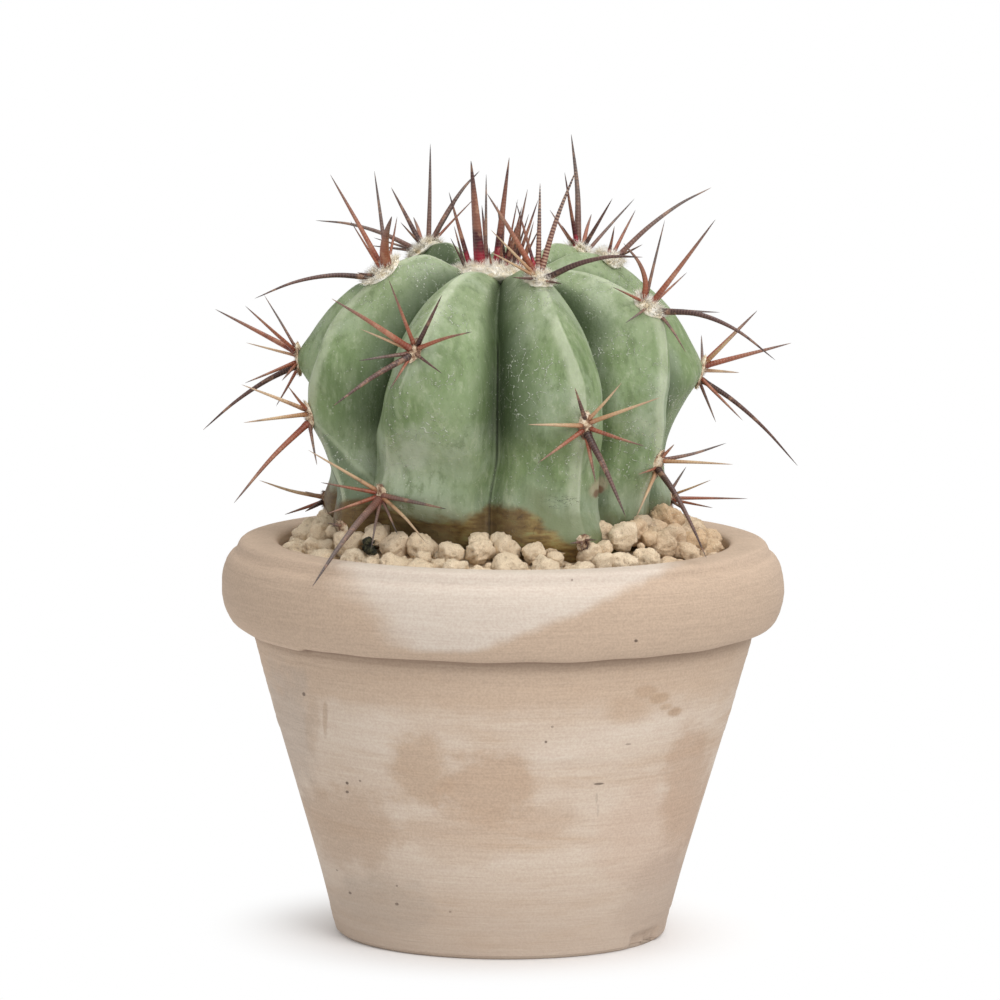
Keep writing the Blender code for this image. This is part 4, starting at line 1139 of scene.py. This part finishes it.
def make_gravel(material, needles):
    """Dressing of pumice: grains of three sizes heaped on the bed, clear of the spines."""
    dice = random.Random(SEED + 5)
    fine = [grain_master(4, 3 + k) for k in range(7)]
    plain = [grain_master(3, 3 + k) for k in range(7)]
    crumbs = [grain_master(2, 23 + k) for k in range(4)]
    shapes, own = [], []
    taken = []
    piles = [strew(dice, *grains, taken) for grains in GRAINS]
    for kind, spots in enumerate(piles):
        for spot, size in spots:
            r = spot.length
            z = gravel_height(r) + heap_height(spot.x, spot.y, r) + size * dice.uniform(0.0, 0.4)
            if kind == 2:
                z -= CRUMB_SINK
            if dice.random() < PERCHED_SHARE and kind < 2:
                z += size * 0.6
            for line, radius in needles:
                while line_gap(Vector((spot.x, spot.y, z)) * MM, line) / MM < size * 0.95 + radius:
                    z -= SINK_STEP
            seen = spot.y < 12 or spot.x < -30
            masters = (fine if seen else plain, plain, crumbs)[kind]
            copy = moved_copy(dice.choice(masters), (spot.x, spot.y, z), size, dice)
            shapes.append(copy)
            own.append(np.full(len(copy[0]), dice.random()))
    grains = gather("pumice_grains", shapes, {"own": own})
    smooth(grains)
    return dress(grains, material, "pumice_gravel", "gravel")


def make_gravel_bed(material):
    """Lower layers of the gravel, seen only between the grains on top."""
    radii = [WALL_AT_GRAVEL - 0.3 - 1.6 * k for k in range(13)]
    rings = [(62.4, SOIL_TOP + 0.4)]
    rings += [(r, gravel_height(r) - 0.6) for r in radii]
    rings += [(40.0, SOIL_TOP + 0.4), (62.4, SOIL_TOP + 0.4)]
    bed = ring_tower("gravel_bed", 180, rings)
    close_tower(bed)
    for vert in bed.data.vertices:
        spot = vert.co / MM
        r = math.hypot(spot.x, spot.y)
        if spot.z > GRAVEL_EDGE_Z - 2 and r < 62.8:
            vert.co.z += MM * (noise.noise(spot * 0.45) * 1.0 + noise.noise(spot * 1.1) * 0.5)
    smooth(bed)
    return dress(bed, material, "pumice_gravel", "gravel")


def make_moss(material, dice):
    """One dark crumb of dead moss on the gravel, with loose fibres."""
    master = grain_master(4, 31)
    shapes = [moved_copy(master, MOSS_PLACE + Vector(offset), size, dice)
              for offset, size in MOSS_LUMPS]
    fibre = hair_master()
    for _ in range(MOSS_FIBRES):
        way = Vector((dice.gauss(0, 1), dice.gauss(0, 1), dice.gauss(0.3, 1)))
        root = (MOSS_PLACE + way.normalized() * 1.5) * MM
        shapes.append(hair_copy(fibre, root, way, dice.uniform(0.5, 1.4), 0.11))
    moss = gather("moss_crumb", shapes, {})
    smooth(moss)
    return dress(moss, material, "potting_soil")


# ---- Stem


def make_stem(material):
    """Ribbed stem: a fine globe whose points are moved to the ribs, furrows and swellings."""
    deselect()
    count = len(RIBS)
    segments = STEM_SIDES * count
    bpy.ops.mesh.primitive_uv_sphere_add(segments=segments, ring_count=STEM_RINGS, radius=1.0)
    stem = named("cactus_stem")
    furrow, shade, ridge = [], [], []
    for vert in stem.data.vertices:
        turn = math.atan2(vert.co.y, vert.co.x) / math.tau
        column = math.floor(turn * segments + 0.3) % segments
        share = column % STEM_SIDES / STEM_SIDES
        side = column // STEM_SIDES + share
        place = math.acos(max(-1.0, min(1.0, vert.co.z))) / math.pi
        spot = stem_point(side, place)
        depth = 1 - abs(share - 0.5) * 2
        furrow.append(depth)
        # painted shade towards the furrow and painted highlight along the crest
        dark, pale = flank_look(column // STEM_SIDES, share, spot.z / MM)
        shade.append(dark)
        ridge.append(pale)
        out = Vector((spot.x, spot.y, 0)).normalized()
        rough = sum(height * noise.noise(spot / MM / size) for height, size in SKIN_SWELLS)
        pleat = PLEAT_HEIGHT * noise.noise(Vector((side * 9, 0, place * 6)))
        vert.co = spot + out * (rough + pleat) * MM * blend(0.02, 0.1, place)
    for title, values in (("furrow", furrow), ("shade", shade), ("ridge", ridge)):
        give_attribute(stem.data, title, values)
    smooth(stem)
    return dress(stem, material, "stem_skin", "stem")


# ---- Spines and wool


def needle_line(start, reach, arch, sway):
    """Points along a spine, from its sunk root to its tip."""
    points = []
    steps = 3 if abs(arch) + abs(sway) > 1 else 2
    for step in range(steps + 1):
        t = step / steps
        bow = 4 * t * (1 - t)
        offset = Vector((sway * bow, 0, arch * bow)) * MM
        points.append(start + reach * t + offset)
    return points


def lift_clear(line):
    """Raise the points of a spine that would dip into the grains or the rim."""
    for i in range(1, len(line)):
        for share in (0.4, 0.6, 0.8, 1.0):
            point = line[i - 1].lerp(line[i], share)
            r = math.hypot(point.x, point.y) / MM
            short = ground_height(r) - point.z / MM
            if short > 0:
                line[i] = line[i] + Vector((0, 0, short / share * MM))


def line_gap(spot, line):
    """Shortest distance from a point to a line of points."""
    nearest = 1.0
    for here, there in zip(line, line[1:]):
        along = there - here
        t = max(0.0, min(1.0, (spot - here).dot(along) / along.length_squared))
        nearest = min(nearest, (spot - here - along * t).length)
    return nearest


def root_point(seat, half_length, reach):
    """Where a spine leaves the pad: off its middle, towards the side it points to."""
    spot, normal, up = seat
    across = normal.cross(up)
    along_up = reach.dot(up)
    along_side = reach.dot(across)
    size = math.hypot(along_up, along_side) + 0.3 * abs(reach.dot(normal)) + 1e-9
    shift = up * (along_up / size * half_length * ROOT_UP_SHARE)
    shift += across * (along_side / size * PAD_HALF_WIDTH * ROOT_SIDE_SHARE)
    return spot + (shift + normal * ROOT_LIFT) * MM


def front_spines(seat, half_length, rows):
    """Line, root radius and tone of each spine that is listed."""
    found = []
    for right, back, up, radius, tone, *bend in rows:
        arch, sway = (*bend, 0, 0)[:2]
        reach = Vector((right, back, up)) * MM
        start = root_point(seat, half_length, reach)
        line = needle_line(start, reach, arch, sway)
        lift_clear(line)
        found.append((line, radius, tone))
    return found


def back_spines(seat, half_length, dice):
    """Line, root radius and tone of each spine that follows the rule for the back."""
    _, normal, up = seat
    across = normal.cross(up)
    found = []
    for i, (angle, lean, length, radius) in enumerate(BACK_RADIALS + (BACK_CENTRAL,)):
        turn = math.radians(angle + dice.uniform(-8, 8))
        tilt = math.radians(lean + dice.uniform(-5, 4))
        size = length * dice.uniform(0.85, 1.1)
        level = up * math.cos(turn) + across * math.sin(turn)
        reach = (level * math.sin(tilt) + normal * math.cos(tilt)) * size * MM
        start = root_point(seat, half_length, reach)
        line = needle_line(start, reach, dice.uniform(0.2, 1.2), 0)
        lift_clear(line)
        found.append((line, radius, DARK if radius > 0.8 else (RUST, STRAW, GREY)[i % 3]))
    return found


def spine_master(sides, rings, swell):
    """Straight spine, 1 long and 1 wide at the root, tapered to a point, with swelling rings."""
    profile = [(UNIT * ROOT_WIDTH, 0.0)]
    for step in range(1, rings):
        t = step / rings
        width = (1 - t) ** TAPER * (1 + COLLAR * bell(t, 0.03, 0.03))
        if step % 2 and t < 0.9:
            width *= 1 + swell
        profile.append((UNIT * width, UNIT * t))
    profile.append((UNIT * TIP_WIDTH, UNIT))
    spine = ring_tower("spine", sides, profile)
    with editing(spine):
        bpy.ops.mesh.fill_holes(sides=sides)
        bpy.ops.mesh.select_all(action="SELECT")
        bpy.ops.mesh.normals_make_consistent(inside=False)
    return master_parts(spine)


def bent_spine(master, line, radius, flat, dice):
    """Copy of the master spine, bent along a line of points.

    It comes with each point's share of the spine's length and its distance from the root in mm.
    """
    corners, faces = master
    stray = Vector((dice.uniform(-1, 1), dice.uniform(-1, 1), dice.uniform(-1, 1))) * STRAY * MM
    spots = [point + stray * (4 * k * (len(line) - 1 - k) / len(line) ** 2)
             for k, point in enumerate(line)]
    flat_spots = [tuple(spot) for spot in spots]
    levels = sorted({round(z, 6) for z in corners[:, 2]})
    centres, asides, besides = {}, {}, {}
    aside = None
    for level in levels:
        here = curve_at(flat_spots, level, False)
        ahead = curve_at(flat_spots, min(1.0, level + 0.01), False)
        behind = curve_at(flat_spots, max(0.0, level - 0.01), False)
        way = (ahead - behind).normalized()
        if aside is None:
            aside = way.cross(Vector((0, 0, 1)))
            if aside.length < 0.1:
                aside = way.orthogonal()
        aside = (aside - way * aside.dot(way)).normalized()
        centres[level], asides[level], besides[level] = here, aside, way.cross(aside)
    wide = radius * THICKER * MM
    out = np.empty_like(corners)
    for i, (x, y, z) in enumerate(corners):
        level = round(z, 6)
        across = asides[level] * (x * wide * flat)
        out[i] = centres[level] + across + besides[level] * (y * wide / flat)
    length = (line[-1] - line[0]).length / MM
    return out, faces, corners[:, 2], corners[:, 2] * length


def make_spines(name, spines, masters, material, node, dice):
    """All the spines of one cluster as one piece."""
    shapes, along, reach, tones = [], [], [], []
    for line, radius, tone in spines:
        thickness = "thick" if radius >= THICK_FROM else "thin"
        master = masters["beaded" if tone == BEADED else thickness]
        flat = FLAT if radius >= FLAT_FROM else NEARLY_ROUND
        points, faces, share, far = bent_spine(master, line, radius, flat, dice)
        shapes.append((points, faces))
        along.append(share)
        reach.append(far)
        tones.append(np.full(len(points), float(tone)))
    piece = gather(name, shapes, {"along": along, "reach": reach, "tone": tones})
    smooth(piece)
    return dress(piece, material, "spines_and_felt", node)


def hair_master():
    """One hair: a three-sided cone, 1 long, drawn to a point and bent once."""
    deselect()
    bpy.ops.mesh.primitive_cone_add(vertices=3, radius1=1.0, radius2=0.0, depth=1.0,
                                    location=(0, 0, 0.5))
    hair = named("hair")
    bpy.ops.object.transform_apply(location=True, rotation=False, scale=False)
    return master_parts(hair)


def hair_copy(master, root, way, length, radius):
    """Copy of the hair, from a root along a way."""
    corners, faces = master
    way = way.normalized()
    aside = way.orthogonal().normalized()
    beside = way.cross(aside)
    turn = np.array([aside * radius, beside * radius, way * length])
    return corners @ turn * MM + np.array(root), faces


def make_wool(name, node, masters, material, dice, young, count, spread, cushion, hair):
    """Lumpy cushion of wool and its hairs: cushion places a corner, hair gives a root and a way."""
    corners, faces = masters["pad"]
    shapes = [(np.array([cushion(*corner) for corner in corners]), faces)]
    lengths = YOUNG_HAIR if young else OLD_HAIR
    if node == "crown":
        lengths = CROWN_HAIR
    for _ in range(count):
        turn = dice.uniform(0, math.tau)
        reach = math.sqrt(dice.random()) * spread
        x, y = reach * math.cos(turn), reach * math.sin(turn)
        root, way = hair(x, y, math.sqrt(max(0.0, 1 - reach * reach)))
        shapes.append(hair_copy(masters["hair"], root, way, dice.uniform(*lengths), HAIR_RADIUS))
    own = [np.full(len(points), float(young)) for points, _ in shapes]
    piece = gather(name, shapes, {"young": own})
    smooth(piece)
    return dress(piece, material, "spines_and_felt", node)


def make_pad(name, seat, half_length, masters, material, dice):
    """Wool of one areole: a lumpy pad and its hairs, long and thick on a young one."""
    spot, normal, up = seat
    across = normal.cross(up)
    young = name in YOUNG
    wide = YOUNG.get(name, OLD_HALF_WIDTH)
    thick = PAD_HALF_THICK if young else OLD_HALF_THICK
    count = round(YOUNG_HAIRS * wide) if young else OLD_HAIRS

    def on_pad(x, y, rise):
        """From the pad's middle to a point on it, in mm: its sides droop along the rib."""
        droop = 0.5 * max(0.0, abs(x) * wide - 1.2)
        return across * (x * wide) + up * (y * half_length) + normal * (rise * thick - droop)

    def cushion(x, y, z):
        """Where a corner of the round master goes."""
        corner = Vector((x, y, z))
        lump = 1.0 + 0.16 * noise.noise(corner * 2.6 + spot * 90)
        lump += 0.07 * noise.noise(corner * 6.0 + spot * 70)
        return spot + on_pad(x, y, z) * lump * MM

    def hair(x, y, z):
        """Root and way of one hair."""
        way = across * x * 1.2 + up * y * 1.2 + normal * (z + 0.35)
        way += Vector((dice.gauss(0, 0.35), dice.gauss(0, 0.35), dice.gauss(0, 0.35)))
        return spot + on_pad(x, y, z * 0.8) * MM, way

    return make_wool("wool_" + name, "areole_" + name, masters, material, dice, young, count, 1.0,
                     cushion, hair)


def make_crown(masters, spine_horn, wool, dice):
    """Woolly crown with the young spines in it."""
    middle = stem_point(0, 0) + Vector((CROWN_RIGHT, CROWN_BACK, CROWN_LIFT)) * MM
    spines = []
    for (at_right, at_back), (right, back, up, radius, tone) in CROWN_SPINES:
        start = middle + Vector((at_right, at_back, 0)) * MM
        spines.append((needle_line(start, Vector((right, back, up)) * MM, 0, 0), radius, tone))
    make_spines("spines_crown", spines, masters, spine_horn, "crown", dice)

    def on_crown(x, y, rise):
        """From the cushion's middle to a point on it."""
        return Vector((x * CROWN_RADIUS, y * CROWN_RADIUS, rise)) * MM

    def cushion(x, y, z):
        """Where a corner of the round master goes."""
        lump = 1.0 + 0.10 * noise.noise(Vector((x, y, z)) * 3.0)
        return middle + on_crown(x, y, z * CROWN_THICK - 0.2) * lump

    def hair(x, y, z):
        """Root and way of one hair."""
        way = Vector((x * 0.9 + dice.gauss(0, 0.4), y * 0.9 + dice.gauss(0, 0.4),
                      0.7 + dice.gauss(0, 0.3)))
        return middle + on_crown(x, y, z * CROWN_THICK * 0.9 - 0.4), way

    return make_wool("wool_crown", "crown", masters, wool, dice, True, CROWN_HAIRS, 1.04,
                     cushion, hair)


def pad_master():
    """Low cushion that pads are copied from: a globe flattened below."""
    deselect()
    bpy.ops.mesh.primitive_uv_sphere_add(segments=28, ring_count=16, radius=1.0)
    return master_parts(named("pad"))


# ---- Stage


def make_camera():
    """Camera at the photo's place, aimed by its tilt, with the photo's long focal length."""
    data = bpy.data.cameras.new("camera")
    data.sensor_width = SENSOR
    data.sensor_fit = "HORIZONTAL"
    data.lens = CAMERA_FOCAL_PX / PHOTO_SIDE * SENSOR
    data.clip_end = 50.0
    camera = bpy.data.objects.new("camera", data)
    place = Matrix.Translation(Vector((CAMERA_RIGHT, -CAMERA_BACK, CAMERA_UP)) * MM)
    tilt = Matrix.Rotation(math.radians(90 - CAMERA_DOWN_DEG), 4, "X")
    roll = Matrix.Rotation(math.radians(CAMERA_ROLL_DEG), 4, "Z")
    camera.matrix_world = place @ tilt @ roll
    bpy.context.scene.collection.objects.link(camera)
    bpy.context.scene.camera = camera


def make_light(name, spot, aim, size, power):
    """Square soft light at a place in metres, aimed at a point."""
    data = bpy.data.lights.new(name, "AREA")
    data.shape = "SQUARE"
    data.size = size
    data.energy = power
    light = bpy.data.objects.new(name, data)
    light.location = spot
    light.rotation_euler = (Vector(aim) - Vector(spot)).to_track_quat("-Z", "Y").to_euler()
    bpy.context.scene.collection.objects.link(light)


def make_stage():
    """White floor that fades into a white room, and a soft key from the upper right front."""
    deselect()
    bpy.ops.mesh.primitive_circle_add(vertices=64, radius=FLOOR_RADIUS, fill_type="NGON",
                                      location=(0, 0, 0))
    floor = named("floor")
    material, put, place = start_material("pale_floor")
    finish_material(material, {"Base Color": "#FAF9F9", "Roughness": 0.7})
    nodes = material.node_tree.nodes
    # the floor glows white away from the pot, painted light that washes out its shadow there
    far = put("either", zone(put, (put("length", place), *FLOOR_FADE)),
              nodes["Principled BSDF"].outputs[0], put("glow", "#FFFFFF", 1.0))
    fill(material.node_tree, nodes["Material Output"], (("Surface", far),))
    floor.data.materials.append(material)
    world = bpy.data.worlds.new("studio")
    world.use_nodes = True
    room = world.node_tree
    strength = add(room, "span", add(room, "seen"), 0.0, 1.0, ROOM_LIGHT, 1.0)
    fill(room, room.nodes["Background"], (("Strength", strength), ("Color", "#FFFFFF")))
    bpy.context.scene.world = world
    make_light("key", KEY_PLACE, KEY_AIM, KEY_SIZE, KEY_POWER)
    make_light("top", TOP_PLACE, TOP_AIM, TOP_SIZE, TOP_POWER)
    bpy.context.scene.view_settings.view_transform = "Standard"


def main():
    """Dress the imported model."""
    make_camera()
    make_stage()
    clay = clay_material()
    pumice = pumice_material()
    skin = skin_material()
    horn = spine_material()
    wool = wool_material()
    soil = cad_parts["soil"]
    soil.data.materials.clear()
    soil.data.materials.append(soil_material())
    make_pot(clay)
    make_stem(skin)
    masters = {
        "thick": spine_master(8, 52, 0.02),
        "thin": spine_master(6, 18, 0.0),
        "beaded": spine_master(8, 64, 0.13),
        "hair": hair_master(),
        "pad": pad_master(),
    }
    dice = random.Random(SEED)
    clusters = []
    for rib, row in enumerate(RIBS):
        for letter, (height, half_length) in zip("abc", row[3]):
            name = f"rib{rib + 1}_{letter}"
            spot = areole_frame(rib, height)
            if name in SPINES:
                spines = front_spines(spot, half_length, SPINES[name])
            else:
                spines = back_spines(spot, half_length, dice)
            clusters.append((name, spot, half_length, spines))
    dice = random.Random(SEED + 2)
    needles = []
    for name, spot, half_length, spines in clusters:
        make_spines("spines_" + name, spines, masters, horn, "areole_" + name, dice)
        make_pad(name, spot, half_length, masters, wool, dice)
        needles += [(line, radius) for line, radius, _ in spines]
    make_crown(masters, horn, wool, dice)
    make_gravel(pumice, needles)
    make_gravel_bed(pumice)
    make_moss(moss_material(), dice)


main()
